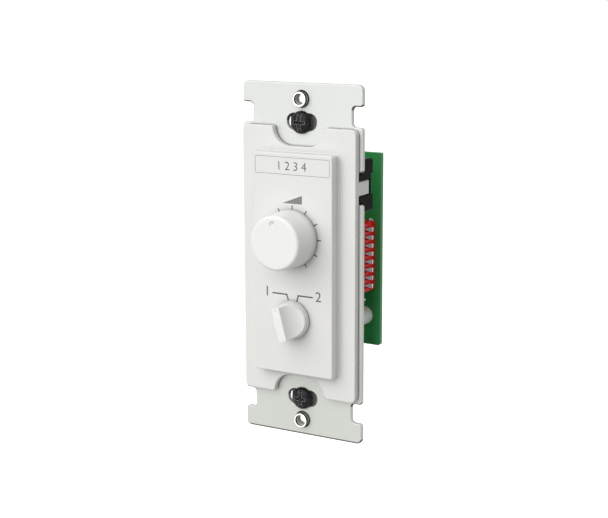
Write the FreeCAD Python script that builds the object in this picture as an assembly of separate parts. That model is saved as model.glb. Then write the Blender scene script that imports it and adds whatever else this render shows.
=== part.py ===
import FreeCAD, Part
import math
import os

# Audio zone controller for a single wall box, in millimetres.
# X is to the viewer's right, Y points into the wall and Z is up.
# The origin lies on the back face of the strap, midway between its screw holes.

V = FreeCAD.Vector

# Strap that screws to the wall box
plate_screw_spacing = 96.84
box_screw_inset = 6.75
strap_end = 4.73
strap_width = 40.1
strap_thick = 1.3
strap_corner = 1.7
slot_length = 9.8
slot_height = 4.7
ear_notch_inset = 9.2
ear_notch_height = 5.9
ear_notch_depth = 3.45
ear_notch_corner = 1.2
notch_tip_corner = 0.8
clip_notch_height = 9.2
clip_notch_depth = 3.4
clip_notch_corner = 0.8

# Tapped collars for the screws of the cover plate
collar_radius = 2.4
collar_bore = 1.4
collar_reach = 1.6
collar_rim = 0.4
collar_rim_thick = 0.4

# Box screws and the retainers that keep them in the strap
screw_radius = 1.75
screw_length = 25.4
screw_neck_radius = 1.45
screw_head_radius = 3.35
screw_head_rim = 0.35
screw_shoulder_radius = 3.0
screw_shoulder_rise = 1.15
screw_face_radius = 2.3
screw_head_height = 1.9
screw_slot_width = 1.1
screw_slot_depth = 0.7
screw_cross_width = 0.9
screw_cross_length = 3.6
screw_cross_depth = 1.3
retainer_width = 8.8
retainer_height = 7.4
retainer_corner = 2.2
retainer_thick = 1.0

# White front bezel and its raised panel
bezel_side_step = 1.1
bezel_end_step = 1.42
bezel_thick = 2.15
bezel_corner = 1.5
bezel_edge = 0.5
bezel_centre_z = 0.2
panel_width = 26.55
panel_end_step = 7.32
panel_rise = 3.53
panel_corner = 0.7
panel_edge = 0.4
panel_wall = 1.9
panel_hole_radius = 4.0
cutout_width = 17.2
cutout_depth = 5.7
cutout_corner = 5.6
peg_radius = 1.5
peg_inset = 3.45
peg_z = -24.0

# Label strip in its recess near the top of the panel
label_side_step = 0.875
label_height = 4.9
label_thick = 0.4
label_corner = 0.3
label_drop = 3.68

# Clip arms of the bezel and their barbs
clip_thick = 1.4
clip_height = 4.5
clip_centre_z = 23.35
clip_reach = 5.05
clip_barb = 0.75
clip_barb_length = 1.4
clip_lead = 0.7
clip_chamfer = 0.35

# Black carrier behind the strap, with the latch posts that the clip arms grip
carrier_width = 29.0
carrier_below = 3.7
carrier_above = 4.9
carrier_thick = 2.0
carrier_corner = 3.0
carrier_rib = 1.2
carrier_rib_height = 2.0
post_side_step = 0.95
post_width = 7.6
post_below = 7.35
post_above = 8.2
post_depth = 6.9
post_corner = 1.0
post_step = 1.1
post_step_below = 2.3
post_step_above = 3.9
tongue_rise = 1.2
boss_radius = 3.0

# What the volume control and the selector switch have alike
volume_z = 8.45
selector_z = -16.0
thread_radius = 3.5
thread_rise = 3.1
flange_thick = 1.6
case_length = 6.8
case_wall = 0.6
wafer_thick = 1.2
wafer_tail_width = 12.0
wafer_tail_gap = 2.45
pin_width = 0.8
pin_thick = 0.5
pin_pitch = 4.5
pin_inset = 1.2
pin_tail = 1.0
rotor_thick = 1.4
rotor_gap = 0.8
finger_radius = 5.0
finger_width = 1.6
finger_length = 3.0
shaft_radius = 3.0
shaft_flat = 1.5
spigot_radius = 2.0
spigot_flat = 1.2
clip_ring_radius = 4.3
clip_ring_thick = 0.4
groove_radius = 2.5
washer_radius = 5.5
washer_thick = 0.5
nut_across_flats = 10.0
nut_thick = 2.0

# Where the two controls differ
volume_case_radius = 8.0
volume_rotor_radius = 6.8
selector_case_side = 15.0
selector_case_corner = 2.0
selector_rotor_radius = 6.3
detent_count = 12
detent_depth = 0.6

# Volume knob
knob_gap = 0.3
volume_knob_height = 10.0
volume_base_radius = 8.5
volume_face_radius = 8.02
volume_face_edge = 0.9
volume_wall = 1.4
volume_face_wall = 1.8
volume_hub_radius = 4.6
volume_rib_thick = 1.0
volume_rib_count = 6
volume_shaft_rise = 7.5
volume_mark_radius = 5.6
volume_mark_size = 1.0
mark_depth = 0.35
mark_floor = 0.5
volume_rest_turn = -6.0

# Selector knob
selector_knob_height = 7.7
selector_base_radius = 5.82
selector_face_radius = 5.0
selector_bar_width = 2.6
selector_rim_rise = 2.65
selector_scoop_sag = 1.15
selector_edge = 0.3
selector_hub_radius = 3.7
selector_hub_depth = 2.3
selector_shaft_rise = 2.7
selector_mark_radius = 3.9
selector_mark_size = 0.7
selector_rest_turn = -15.0

# Two stacked circuit boards, the rear one seen beside the strap
board_width = 20.8
board_thick = 1.6
board_corner = 0.6
control_board_y = 12.0
rear_board_y = 29.1
standoff_below = 4.1
standoff_above = 9.95
standoff_inset = 3.5
standoff_across_flats = 5.5
standoff_stud_length = 6.0
standoff_bore_depth = 6.5
board_screw_radius = 1.45
board_screw_length = 6.0
board_screw_head_radius = 2.75
board_screw_head_height = 1.7
board_screw_cross_width = 0.7
board_screw_cross_length = 3.0
board_screw_cross_depth = 1.0

# Stacking header between the boards
header_inset = 2.9
header_count = 8
header_pitch = 2.54
header_strip_width = 2.5
header_strip_height = 2.5
header_socket_height = 8.5
header_pin = 0.64
header_tail = 1.3

# Side-acting DIP switch on the rear board
dip_face_inset = 1.95
dip_width = 6.6
dip_height = 9.4
dip_end = 0.59
dip_centre_z = -2.1
dip_count = 8
dip_pitch = 2.54
dip_slot_width = 1.6
dip_slot_half = 1.3
dip_slot_depth = 2.8
dip_lever_reach = 2.0
dip_lever_root_width = 0.85
dip_lever_tip_width = 1.3
dip_lever_root_thick = 0.9
dip_lever_tip_thick = 1.3
dip_axle_radius = 0.4
dip_axle_reach = 0.35
dip_pivot_inset = 1.6
dip_pivot_rise = 5.1
dip_rest_tilt = 12.0
dip_pin_width = 0.5
dip_pin_row = 3.81
dip_pin_inset = 1.3
dip_pin_tail = 1.4

# Capacitor on the rear board
can_radius = 2.8
can_height = 11.0
can_inset = 3.4
can_above = 5.85
can_bead_depth = 0.25
can_bead_height = 1.4
can_bead_rise = 1.2
can_edge = 0.4
lead_radius = 0.3
lead_pitch = 2.5
lead_tail = 1.2

# Small parts on the rear board
chip_step_x = 3.3
chip_below = 9.4
chip_width = 3.9
chip_length = 4.9
chip_height = 1.4
chip_lift = 0.15
chip_lead_count = 4
chip_lead_pitch = 1.27
chip_lead_width = 0.4
chip_lead_reach = 1.05
chip_lead_thick = 0.2
chip_lead_bend = 0.42
chip_lead_rise = 0.75
resistor_length = 2.0
resistor_width = 1.25
resistor_height = 0.55
resistor_step_x = 5.6
resistor_step_z = 3.6
resistor_pitch = 2.4
resistor_count = 4

# Wiring terminal block behind the rear board
block_header_gap = 0.78
block_dip_gap = 1.7
block_z = 0.0
block_ways = 5
block_pitch = 3.81
block_end = 0.4
block_height = 8.5
block_slope_x = 1.8
block_slope_y = 2.6
block_floor = 1.1
clamp_side = 2.7
clamp_height = 3.4
clamp_wall = 0.4
block_screw_radius = 0.9
block_screw_head_radius = 1.6
block_screw_head_height = 1.2
block_screw_sink = 0.6
block_pin = 0.9
block_pin_tail = 1.0

# Clearances between mating pieces
run_gap = 0.03
seat_gap = 0.02
slip_gap = 0.1
hole_gap = 0.2
label_gap = 0.12
free_gap = 0.3

# Sizes, planes and places that follow from the sizes above
strap_height = plate_screw_spacing + 2 * strap_end
box_screw_spacing = plate_screw_spacing - 2 * box_screw_inset
ear_notch_centre = strap_height / 2 - ear_notch_inset
bezel_width = strap_width - 2 * bezel_side_step
bezel_height = box_screw_spacing - 2 * bezel_end_step
panel_height = bezel_height - 2 * panel_end_step
label_width = panel_width - 2 * label_side_step
label_centre_z = bezel_centre_z + panel_height / 2 - label_drop
peg_spacing = bezel_width - 2 * peg_inset
post_outer_x = strap_width / 2 - post_side_step
post_inner_x = post_outer_x - post_width
wafer_tail_reach = (volume_z - selector_z - wafer_tail_gap) / 2
pin_reach = wafer_tail_reach - pin_inset
strap_front_y = -strap_thick
bezel_front_y = strap_front_y - bezel_thick
panel_front_y = bezel_front_y - panel_rise
panel_back_y = panel_front_y + panel_wall
thread_end_y = strap_front_y - thread_rise
case_front_y = carrier_thick + flange_thick
case_back_y = case_front_y + case_length
wafer_back_y = case_back_y - case_wall
wafer_front_y = wafer_back_y - wafer_thick
rotor_back_y = wafer_front_y - rotor_gap
rotor_front_y = rotor_back_y - rotor_thick
knob_base_y = panel_front_y - knob_gap
control_back_y = control_board_y + board_thick
rear_back_y = rear_board_y + board_thick
standoff_low_z = selector_z - selector_case_side / 2 - standoff_below
standoff_high_z = volume_z + volume_case_radius + standoff_above
standoff_zs = (standoff_low_z, standoff_high_z)
board_height = standoff_high_z - standoff_low_z + 2 * standoff_inset
board_centre_z = (standoff_low_z + standoff_high_z) / 2
carrier_height = standoff_high_z - standoff_low_z + carrier_below + carrier_above
carrier_centre_z = board_centre_z + (carrier_above - carrier_below) / 2
plate_screw_zs = (-plate_screw_spacing / 2, plate_screw_spacing / 2)
box_screw_zs = (-box_screw_spacing / 2, box_screw_spacing / 2)
clip_inner_x = bezel_width / 2 - clip_thick
clip_barb_y = clip_reach - clip_barb_length
header_x = header_inset - board_width / 2
chip_x = header_x + chip_step_x
dip_face_x = board_width / 2 - dip_face_inset
dip_pin_x = dip_face_x - dip_width + dip_pin_inset
block_x0 = header_x + header_pin / 2 + block_header_gap
block_x1 = dip_pin_x - dip_pin_width / 2 - block_dip_gap
block_x = (block_x0 + block_x1) / 2
dip_length = dip_count * dip_pitch + 2 * dip_end
dip_pivot_x = dip_face_x - dip_pivot_inset
dip_pivot_y = rear_board_y - dip_pivot_rise
can_x = dip_face_x - can_inset
can_z = standoff_low_z + can_above
chip_z = standoff_high_z - chip_below
resistor_x = chip_x + resistor_step_x
resistor_first_z = chip_z - resistor_step_z
volume_pin_z = volume_z - pin_reach
selector_pin_z = selector_z + pin_reach


def box(x0, x1, y0, y1, z0, z1):
    return Part.makeBox(x1 - x0, y1 - y0, z1 - z0, V(x0, y0, z0))


def rod(x, z, radius, y0, y1):
    return Part.makeCylinder(radius, y1 - y0, V(x, y0, z), V(0, 1, 0))


def along_y(edge):
    """True of straight edges that run along Y."""
    if len(edge.Vertexes) != 2:
        return False
    start, end = [vertex.Point for vertex in edge.Vertexes]
    return abs(abs(start.y - end.y) - start.distanceToPoint(end)) < 1e-6


def in_plane_y(y):
    """A test that picks the edges lying wholly in the plane at this Y."""
    def test(edge):
        points = [vertex.Point for vertex in edge.Vertexes]
        points.append(edge.valueAt((edge.FirstParameter + edge.LastParameter) / 2))
        return all(abs(point.y - y) < 1e-4 for point in points)
    return test


def picked(shape, test):
    return [edge for edge in shape.Edges if test(edge)]


def round_edges(shape, radius, test):
    return shape.makeFillet(radius, picked(shape, test))


def slab(width, height, corner, y0, y1, x=0.0, z=0.0):
    """A plate lying in the XZ plane with its four corners rounded."""
    plate = box(x - width / 2, x + width / 2, y0, y1, z - height / 2, z + height / 2)
    return round_edges(plate, corner, along_y)


def hexagon(z, across_flats, y0, y1):
    """A hexagonal prism along Y with two of its flats facing sideways."""
    radius = across_flats / math.sqrt(3)
    turns = [math.radians(60 * k + 30) for k in range(7)]
    points = [V(radius * math.cos(turn), y0, z + radius * math.sin(turn)) for turn in turns]
    return Part.Face(Part.makePolygon(points)).extrude(V(0, y1 - y0, 0))


def revolved(x, z, profile):
    """A closed outline of (radius, y) points, turned about the axis along Y at this place."""
    points = [V(x + radius, y, z) for radius, y in profile + profile[:1]]
    return Part.Face(Part.makePolygon(points)).revolve(V(x, 0, z), V(0, 1, 0), 360)


def prism_xy(profile, z0, z1):
    """A closed outline of (x, y) points, extruded along Z."""
    points = [V(x, y, z0) for x, y in profile + profile[:1]]
    return Part.Face(Part.makePolygon(points)).extrude(V(0, 0, z1 - z0))


def turned(shape, z, degrees):
    """A copy turned clockwise, as the viewer sees it, about the axis along Y at this height."""
    copy = shape.copy()
    copy.rotate(V(0, 0, z), V(0, 1, 0), degrees)
    return copy


def mirrored(shape):
    return shape.mirror(V(0, 0, 0), V(1, 0, 0))


def cross_recess(z, width, length, y0, y1):
    across = box(-length / 2, length / 2, y0, y1, z - width / 2, z + width / 2)
    upright = box(-width / 2, width / 2, y0, y1, z - length / 2, z + length / 2)
    return across.fuse(upright)


# Strap, collars and box screws

def oval_slot(z):
    radius = slot_height / 2
    reach = slot_length / 2 - radius
    middle = box(-reach, reach, strap_front_y, 0, z - radius, z + radius)
    ends = [rod(x, z, radius, strap_front_y, 0) for x in (-reach, reach)]
    return middle.fuse(ends)


def at_notch_tip(edge):
    """True of the corners where a notch meets the side of the strap."""
    if not along_y(edge):
        return False
    point = edge.Vertexes[0].Point
    from_ear = abs(abs(point.z) - ear_notch_centre) - ear_notch_height / 2
    from_clip = abs(point.z - clip_centre_z) - clip_notch_height / 2
    return abs(abs(point.x) - strap_width / 2) < 1e-4 and min(abs(from_ear), abs(from_clip)) < 1e-4


def strap():
    plate = slab(strap_width, strap_height, strap_corner, strap_front_y, 0)
    cutters = [oval_slot(z) for z in box_screw_zs]
    for x in (-strap_width / 2, strap_width / 2):
        for z in (-ear_notch_centre, ear_notch_centre):
            cutters.append(slab(2 * ear_notch_depth, ear_notch_height, ear_notch_corner,
                                strap_front_y, 0, x, z))
        cutters.append(slab(2 * clip_notch_depth, clip_notch_height, clip_notch_corner,
                            strap_front_y, 0, x, clip_centre_z))
    for z in plate_screw_zs:
        cutters.append(rod(0, z, collar_radius + seat_gap, strap_front_y, 0))
    for x in (-peg_spacing / 2, peg_spacing / 2):
        cutters.append(rod(x, peg_z, peg_radius + slip_gap, strap_front_y, 0))
    for z in (volume_z, selector_z):
        cutters.append(rod(0, z, thread_radius + hole_gap, strap_front_y, 0))
    return round_edges(plate.cut(cutters), notch_tip_corner, at_notch_tip)


def collar(z):
    """A tapped collar pressed in from behind, with a rim against the back of the strap."""
    front_y = strap_front_y - collar_reach
    rim_radius = collar_radius + collar_rim
    profile = [
        (collar_bore, front_y),
        (collar_radius, front_y),
        (collar_radius, 0),
        (rim_radius, 0),
        (rim_radius, collar_rim_thick),
        (collar_bore, collar_rim_thick),
    ]
    return revolved(0, z, profile)


def box_screw(z):
    """A domed head on a neck thinner than the thread, which keeps the retainer on."""
    front_y = strap_front_y - screw_head_height
    thread_y = retainer_thick + slip_gap
    profile = [
        (0, front_y),
        (screw_face_radius, front_y),
        (screw_shoulder_radius, strap_front_y - screw_shoulder_rise),
        (screw_head_radius, strap_front_y - screw_head_rim),
        (screw_head_radius, strap_front_y),
        (screw_neck_radius, strap_front_y),
        (screw_neck_radius, thread_y),
        (screw_radius, thread_y),
        (screw_radius, strap_front_y + screw_length),
        (0, strap_front_y + screw_length),
    ]
    slot = box(-screw_slot_width / 2, screw_slot_width / 2, front_y, front_y + screw_slot_depth,
               z - screw_head_radius, z + screw_head_radius)
    cross = cross_recess(z, screw_cross_width, screw_cross_length, front_y,
                         front_y + screw_cross_depth)
    return revolved(0, z, profile).cut([slot, cross])


def retainer(z):
    plate = slab(retainer_width, retainer_height, retainer_corner, 0, retainer_thick, 0, z)
    return plate.cut(rod(0, z, screw_neck_radius + seat_gap, 0, retainer_thick))


# Front bezel with its clip arms, and the label strip

def bezel_shell():
    flange = slab(bezel_width, bezel_height, bezel_corner, bezel_front_y, strap_front_y,
                  0, bezel_centre_z)
    flange = flange.makeChamfer(bezel_edge, picked(flange, in_plane_y(bezel_front_y)))
    panel = slab(panel_width, panel_height, panel_corner, panel_front_y,
                 bezel_front_y + bezel_edge, 0, bezel_centre_z)
    panel = round_edges(panel, panel_edge, in_plane_y(panel_front_y))
    cavity = slab(panel_width - 2 * panel_wall, panel_height - 2 * panel_wall, panel_corner,
                  panel_back_y, strap_front_y, 0, bezel_centre_z)
    return flange.fuse(panel).cut(cavity)


def screw_cutout(side):
    """The opening in the bezel's edge that leaves room round a box screw."""
    edge_z = bezel_centre_z + side * bezel_height / 2
    return slab(cutout_width, 2 * cutout_depth, cutout_corner, bezel_front_y, strap_front_y,
                0, edge_z)


def clip_arm():
    """The right-hand arm, whose barb points inwards."""
    outer_x = bezel_width / 2
    profile = [
        (outer_x - bezel_edge, bezel_front_y + bezel_edge),
        (outer_x, bezel_front_y + 2 * bezel_edge),
        (outer_x, clip_reach - clip_lead),
        (outer_x - clip_chamfer, clip_reach),
        (clip_inner_x, clip_reach),
        (clip_inner_x - clip_barb, clip_barb_y + clip_barb / 2),
        (clip_inner_x - clip_barb, clip_barb_y),
        (clip_inner_x, clip_barb_y),
        (clip_inner_x, bezel_front_y + bezel_edge),
    ]
    arm = prism_xy(profile, clip_centre_z - clip_height / 2, clip_centre_z + clip_height / 2)
    long_edges = [edge for edge in picked(arm, along_y)
                  if abs(edge.Vertexes[0].Point.x - outer_x) < 1e-4]
    return arm.makeChamfer(clip_chamfer, long_edges)


def bezel():
    recess = slab(label_width + 2 * label_gap, label_height + 2 * label_gap,
                  label_corner + label_gap, panel_front_y, panel_front_y + label_thick,
                  0, label_centre_z)
    cutters = [recess, screw_cutout(-1), screw_cutout(1)]
    for z in (volume_z, selector_z):
        cutters.append(rod(0, z, panel_hole_radius, panel_front_y, panel_back_y))
    additions = [clip_arm(), mirrored(clip_arm())]
    for x in (-peg_spacing / 2, peg_spacing / 2):
        additions.append(rod(x, peg_z, peg_radius, strap_front_y - bezel_edge, 0))
    return bezel_shell().cut(cutters).fuse(additions).removeSplitter()


def label_strip():
    return slab(label_width, label_height, label_corner, panel_front_y,
                panel_front_y + label_thick, 0, label_centre_z)


# Black carrier with its latch posts and board bosses

def latch_post():
    """The right-hand post: a stepped block with a tongue in the strap's notch.

    The arm lies in a channel that is open to the front and the side and closed at its end.
    """
    post = slab(post_width, post_below + post_above, post_corner, 0, post_depth,
                post_outer_x - post_width / 2, clip_centre_z + (post_above - post_below) / 2)
    tongue_inner_x = strap_width / 2 - clip_notch_depth + slip_gap
    tongue = slab(post_outer_x - tongue_inner_x, clip_notch_height - 2 * slip_gap,
                  clip_notch_corner, -tongue_rise, 0, (post_outer_x + tongue_inner_x) / 2,
                  clip_centre_z)
    step = box(post_inner_x + carrier_corner, post_outer_x, post_depth - post_step, post_depth,
               clip_centre_z - post_step_below, clip_centre_z + post_step_above)
    low_z = clip_centre_z - clip_height / 2 - slip_gap
    high_z = clip_centre_z + clip_height / 2 + slip_gap
    end_y = clip_reach + slip_gap
    channel = box(clip_inner_x - slip_gap, post_outer_x, -tongue_rise, end_y, low_z, high_z)
    pocket = box(clip_inner_x - clip_barb - free_gap, post_outer_x, clip_barb_y, end_y,
                 low_z, high_z)
    return post.fuse(tongue).cut([step, channel, pocket])


def carrier():
    plate = slab(carrier_width, carrier_height, carrier_corner, 0,
                 carrier_thick + carrier_rib_height, 0, carrier_centre_z)
    pan = slab(carrier_width - 2 * carrier_rib, carrier_height - 2 * carrier_rib,
               carrier_corner - carrier_rib, carrier_thick, carrier_thick + carrier_rib_height,
               0, carrier_centre_z)
    additions = [latch_post(), mirrored(latch_post())]
    additions += [rod(0, z, boss_radius, carrier_thick, control_board_y) for z in standoff_zs]
    stud_end_y = control_back_y - standoff_stud_length - hole_gap
    cutters = [rod(0, z, board_screw_radius + seat_gap, stud_end_y, control_board_y)
               for z in standoff_zs]
    cutters += [rod(0, z, thread_radius + hole_gap, 0, carrier_thick)
                for z in (volume_z, selector_z)]
    return plate.cut(pan).fuse(additions).cut(cutters).removeSplitter()


# Parts that the two rotary controls share

def bushing(z, flange):
    thread = rod(0, z, thread_radius, thread_end_y, carrier_thick)
    bore = rod(0, z, shaft_radius + run_gap, thread_end_y, case_front_y)
    return thread.fuse(flange).cut(bore).removeSplitter()


def case(outside, inside, tail):
    """A cup, open towards the flange, with a slot where the wafer's tail comes out."""
    return outside.cut([inside, tail])


def tail_box(z, side, gap):
    """The wafer's tail, reaching down where side is -1 and up where it is 1."""
    z0, z1 = sorted((z, z + side * (wafer_tail_reach + gap)))
    return box(-wafer_tail_width / 2 - gap, wafer_tail_width / 2 + gap,
               wafer_front_y - gap, wafer_back_y, z0, z1)


def control_pins(pin_z):
    solids = []
    for x in (-pin_pitch, 0, pin_pitch):
        solids.append(box(x - pin_width / 2, x + pin_width / 2, wafer_back_y,
                          control_back_y + pin_tail, pin_z - pin_thick / 2, pin_z + pin_thick / 2))
    return solids


def lock_washer(z):
    disc = rod(0, z, washer_radius, strap_front_y - washer_thick, strap_front_y)
    return disc.cut(rod(0, z, thread_radius + seat_gap, strap_front_y - washer_thick, strap_front_y))


def nut(z):
    back_y = strap_front_y - washer_thick
    body = hexagon(z, nut_across_flats, back_y - nut_thick, back_y)
    return body.cut(rod(0, z, thread_radius + seat_gap, back_y - nut_thick, back_y))


def control_shaft(z, rise, turn):
    """A shaft with a flat for the knob, a groove for its clip and a spigot for the rotor."""
    tip_y = knob_base_y - rise
    body = rod(0, z, shaft_radius, tip_y, rotor_front_y)
    body = body.fuse(rod(0, z, spigot_radius, rotor_front_y, rotor_back_y))
    flat = box(-shaft_radius, shaft_radius, tip_y, thread_end_y - free_gap,
               z + shaft_flat, z + shaft_radius)
    spigot_cut = box(-spigot_radius, spigot_radius, rotor_front_y, rotor_back_y,
                     z + spigot_flat, z + spigot_radius)
    groove_y = case_front_y + slip_gap
    groove = rod(0, z, shaft_radius, groove_y, groove_y + clip_ring_thick)
    groove = groove.cut(rod(0, z, groove_radius, groove_y, groove_y + clip_ring_thick))
    return turned(body.cut([flat, spigot_cut, groove]), z, turn)


def shaft_clip(z, turn):
    """An open ring in the shaft's groove."""
    y0 = case_front_y + slip_gap
    y1 = y0 + clip_ring_thick
    hole = rod(0, z, groove_radius + seat_gap, y0, y1)
    mouth = box(-groove_radius, groove_radius, y0, y1, z - clip_ring_radius, z)
    return turned(rod(0, z, clip_ring_radius, y0, y1).cut([hole, mouth]), z, turn)


def rotor(z, disc, turn):
    """A disc on the shaft's spigot, with a pair of contact fingers towards the wafer."""
    hole = rod(0, z, spigot_radius + seat_gap, rotor_front_y, rotor_back_y)
    hole = hole.cut(box(-shaft_radius, shaft_radius, rotor_front_y, rotor_back_y,
                        z + spigot_flat + seat_gap, z + shaft_radius))
    fingers = []
    for side in (-1, 1):
        middle_z = z + side * finger_radius
        fingers.append(box(-finger_length / 2, finger_length / 2, rotor_back_y,
                           wafer_front_y - slip_gap, middle_z - finger_width / 2,
                           middle_z + finger_width / 2))
    return turned(disc.cut(hole).fuse(fingers), z, turn)


def shaft_bore(z, rise, y1):
    """The D-shaped hole that takes the shaft of a control."""
    tip_y = knob_base_y - rise
    bore = rod(0, z, shaft_radius + seat_gap, tip_y, y1)
    flat = box(-2 * shaft_radius, 2 * shaft_radius, tip_y, y1,
               z + shaft_flat + seat_gap, z + 2 * shaft_radius)
    return bore.cut(flat)


def index_mark(radius, size, face_y, z):
    """The shallow dished mark in a knob's face."""
    profile = [(0, face_y), (size, face_y), (size * mark_floor, face_y + mark_depth),
               (0, face_y + mark_depth)]
    return revolved(0, z + radius, profile)


# Volume control

def volume_bushing():
    return bushing(volume_z, rod(0, volume_z, volume_case_radius, carrier_thick, case_front_y))


def volume_case():
    outside = rod(0, volume_z, volume_case_radius, case_front_y, case_back_y)
    inside = rod(0, volume_z, volume_case_radius - case_wall, case_front_y, wafer_back_y)
    return case(outside, inside, tail_box(volume_z, -1, slip_gap))


def volume_wafer():
    disc = rod(0, volume_z, volume_case_radius - case_wall - seat_gap, wafer_front_y, wafer_back_y)
    return disc.fuse(tail_box(volume_z, -1, 0)).removeSplitter()


def volume_wiper():
    disc = rod(0, volume_z, volume_rotor_radius, rotor_front_y, rotor_back_y)
    return rotor(volume_z, disc, volume_rest_turn)


def volume_knob():
    """A tapered hollow cap with a rounded face edge, on a ribbed hub."""
    face_y = knob_base_y - volume_knob_height
    inner_y = face_y + volume_face_wall
    edge = volume_face_edge
    profile = [
        (0, face_y),
        (volume_face_radius - edge, face_y),
        (volume_face_radius - edge * (1 - math.sin(math.pi / 6)),
         face_y + edge * (1 - math.cos(math.pi / 6))),
        (volume_face_radius - edge * (1 - math.sin(math.pi / 3)),
         face_y + edge * (1 - math.cos(math.pi / 3))),
        (volume_face_radius, face_y + edge),
        (volume_base_radius, knob_base_y),
        (0, knob_base_y),
    ]
    hollow = rod(0, volume_z, volume_face_radius - volume_wall, inner_y, knob_base_y)
    hollow = hollow.cut(rod(0, volume_z, volume_hub_radius, inner_y, knob_base_y))
    for k in range(volume_rib_count):
        rib = box(0, volume_base_radius, inner_y, knob_base_y - free_gap,
                  volume_z - volume_rib_thick / 2, volume_z + volume_rib_thick / 2)
        hollow = hollow.cut(turned(rib, volume_z, k * 360 / volume_rib_count))
    mark = index_mark(volume_mark_radius, volume_mark_size, face_y, volume_z)
    bore = shaft_bore(volume_z, volume_shaft_rise, knob_base_y)
    knob = revolved(0, volume_z, profile).cut([hollow, bore, mark])
    return turned(knob, volume_z, volume_rest_turn)


# Selector switch

def selector_bushing():
    flange = slab(selector_case_side, selector_case_side, selector_case_corner,
                  carrier_thick, case_front_y, 0, selector_z)
    return bushing(selector_z, flange)


def selector_case():
    inner_side = selector_case_side - 2 * case_wall
    outside = slab(selector_case_side, selector_case_side, selector_case_corner,
                   case_front_y, case_back_y, 0, selector_z)
    inside = slab(inner_side, inner_side, selector_case_corner - case_wall,
                  case_front_y, wafer_back_y, 0, selector_z)
    return case(outside, inside, tail_box(selector_z, 1, slip_gap))


def selector_wafer():
    side = selector_case_side - 2 * case_wall - 2 * seat_gap
    plate = slab(side, side, selector_case_corner - case_wall, wafer_front_y, wafer_back_y,
                 0, selector_z)
    return plate.fuse(tail_box(selector_z, 1, 0)).removeSplitter()


def selector_rotor():
    """A rotor with a notch in its rim for each detent."""
    disc = rod(0, selector_z, selector_rotor_radius, rotor_front_y, rotor_back_y)
    notches = []
    tip_z = selector_z + selector_rotor_radius
    profile = [V(-detent_depth, rotor_front_y, tip_z), V(0, rotor_front_y, tip_z - detent_depth),
               V(detent_depth, rotor_front_y, tip_z), V(0, rotor_front_y, tip_z + detent_depth)]
    notch = Part.Face(Part.makePolygon(profile + profile[:1])).extrude(V(0, rotor_thick, 0))
    for k in range(detent_count):
        notches.append(turned(notch, selector_z, k * 360 / detent_count))
    return rotor(selector_z, disc.cut(notches), selector_rest_turn)


def selector_scoop(face_y, rim_y):
    """What is taken off beside the grip: a trough that curves from the bar down to the rim."""
    z0 = selector_z - 2 * selector_base_radius
    start = V(selector_bar_width / 2, face_y, z0)
    end = V(selector_base_radius + selector_edge, rim_y, z0)
    chord = end.sub(start)
    normal = V(-chord.y, chord.x, 0).normalize()
    middle = (start + end) * 0.5 + normal * selector_scoop_sag
    outer_x = 2 * selector_base_radius
    above = face_y - 2 * selector_edge
    corners = [end, V(outer_x, rim_y, z0), V(outer_x, above, z0), V(start.x, above, z0), start]
    edges = [Part.Arc(start, middle, end).toShape()]
    edges += [Part.makeLine(a, b) for a, b in zip(corners, corners[1:])]
    return Part.Face(Part.Wire(edges)).extrude(V(0, 0, 4 * selector_base_radius))


def selector_knob():
    """A round base with a straight finger grip, scooped out on both sides."""
    face_y = knob_base_y - selector_knob_height
    rim_y = knob_base_y - selector_rim_rise
    base = rod(0, selector_z, selector_base_radius, rim_y, knob_base_y)
    grip = Part.makeCone(selector_base_radius, selector_face_radius, rim_y - face_y,
                         V(0, rim_y, selector_z), V(0, -1, 0))
    scoop = selector_scoop(face_y, rim_y)
    grip = grip.cut([scoop, mirrored(scoop)])
    grip = grip.makeChamfer(selector_edge, picked(grip, in_plane_y(face_y)))
    hub = rod(0, selector_z, selector_hub_radius, knob_base_y, knob_base_y + selector_hub_depth)
    bore = shaft_bore(selector_z, selector_shaft_rise, knob_base_y + selector_hub_depth)
    mark = index_mark(selector_mark_radius, selector_mark_size, face_y, selector_z)
    knob = base.fuse([grip, hub]).removeSplitter().cut([bore, mark])
    return turned(knob, selector_z, selector_rest_turn)


# Circuit boards, standoffs and the header between them

def plain_board(front_y, pin_holes):
    """A board with its screw holes, its header's holes and a list of (x, z, half width) holes."""
    back_y = front_y + board_thick
    board = slab(board_width, board_height, board_corner, front_y, back_y, 0, board_centre_z)
    pin_holes = pin_holes + [(header_x, z, header_pin / 2 + slip_gap)
                             for z in row_zs(header_count, header_pitch, 0)]
    cutters = [rod(0, z, board_screw_radius + hole_gap, front_y, back_y) for z in standoff_zs]
    cutters += [box(x - half, x + half, front_y, back_y, z - half, z + half)
                for x, z, half in pin_holes]
    return board.cut(cutters)


def row_zs(count, pitch, centre_z):
    return [centre_z + (k - (count - 1) / 2) * pitch for k in range(count)]


def control_board():
    holes = [(x, z, pin_width / 2 + slip_gap) for x in (-pin_pitch, 0, pin_pitch)
             for z in (volume_pin_z, selector_pin_z)]
    return plain_board(control_board_y, holes)


def rear_board():
    holes = [(x, z, dip_pin_width / 2 + slip_gap) for x in dip_pin_xs for z in dip_zs]
    holes += [(can_x, can_z + offset, lead_radius + slip_gap)
              for offset in (-lead_pitch / 2, lead_pitch / 2)]
    holes += [(block_x, z, block_pin / 2 + slip_gap) for z in block_zs]
    return plain_board(rear_board_y, holes)


def standoff(z):
    body = hexagon(z, standoff_across_flats, control_back_y, rear_board_y)
    stud = rod(0, z, board_screw_radius, control_back_y - standoff_stud_length, control_back_y)
    bore = rod(0, z, board_screw_radius + seat_gap, rear_board_y - standoff_bore_depth, rear_board_y)
    return body.fuse(stud).cut(bore)


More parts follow.
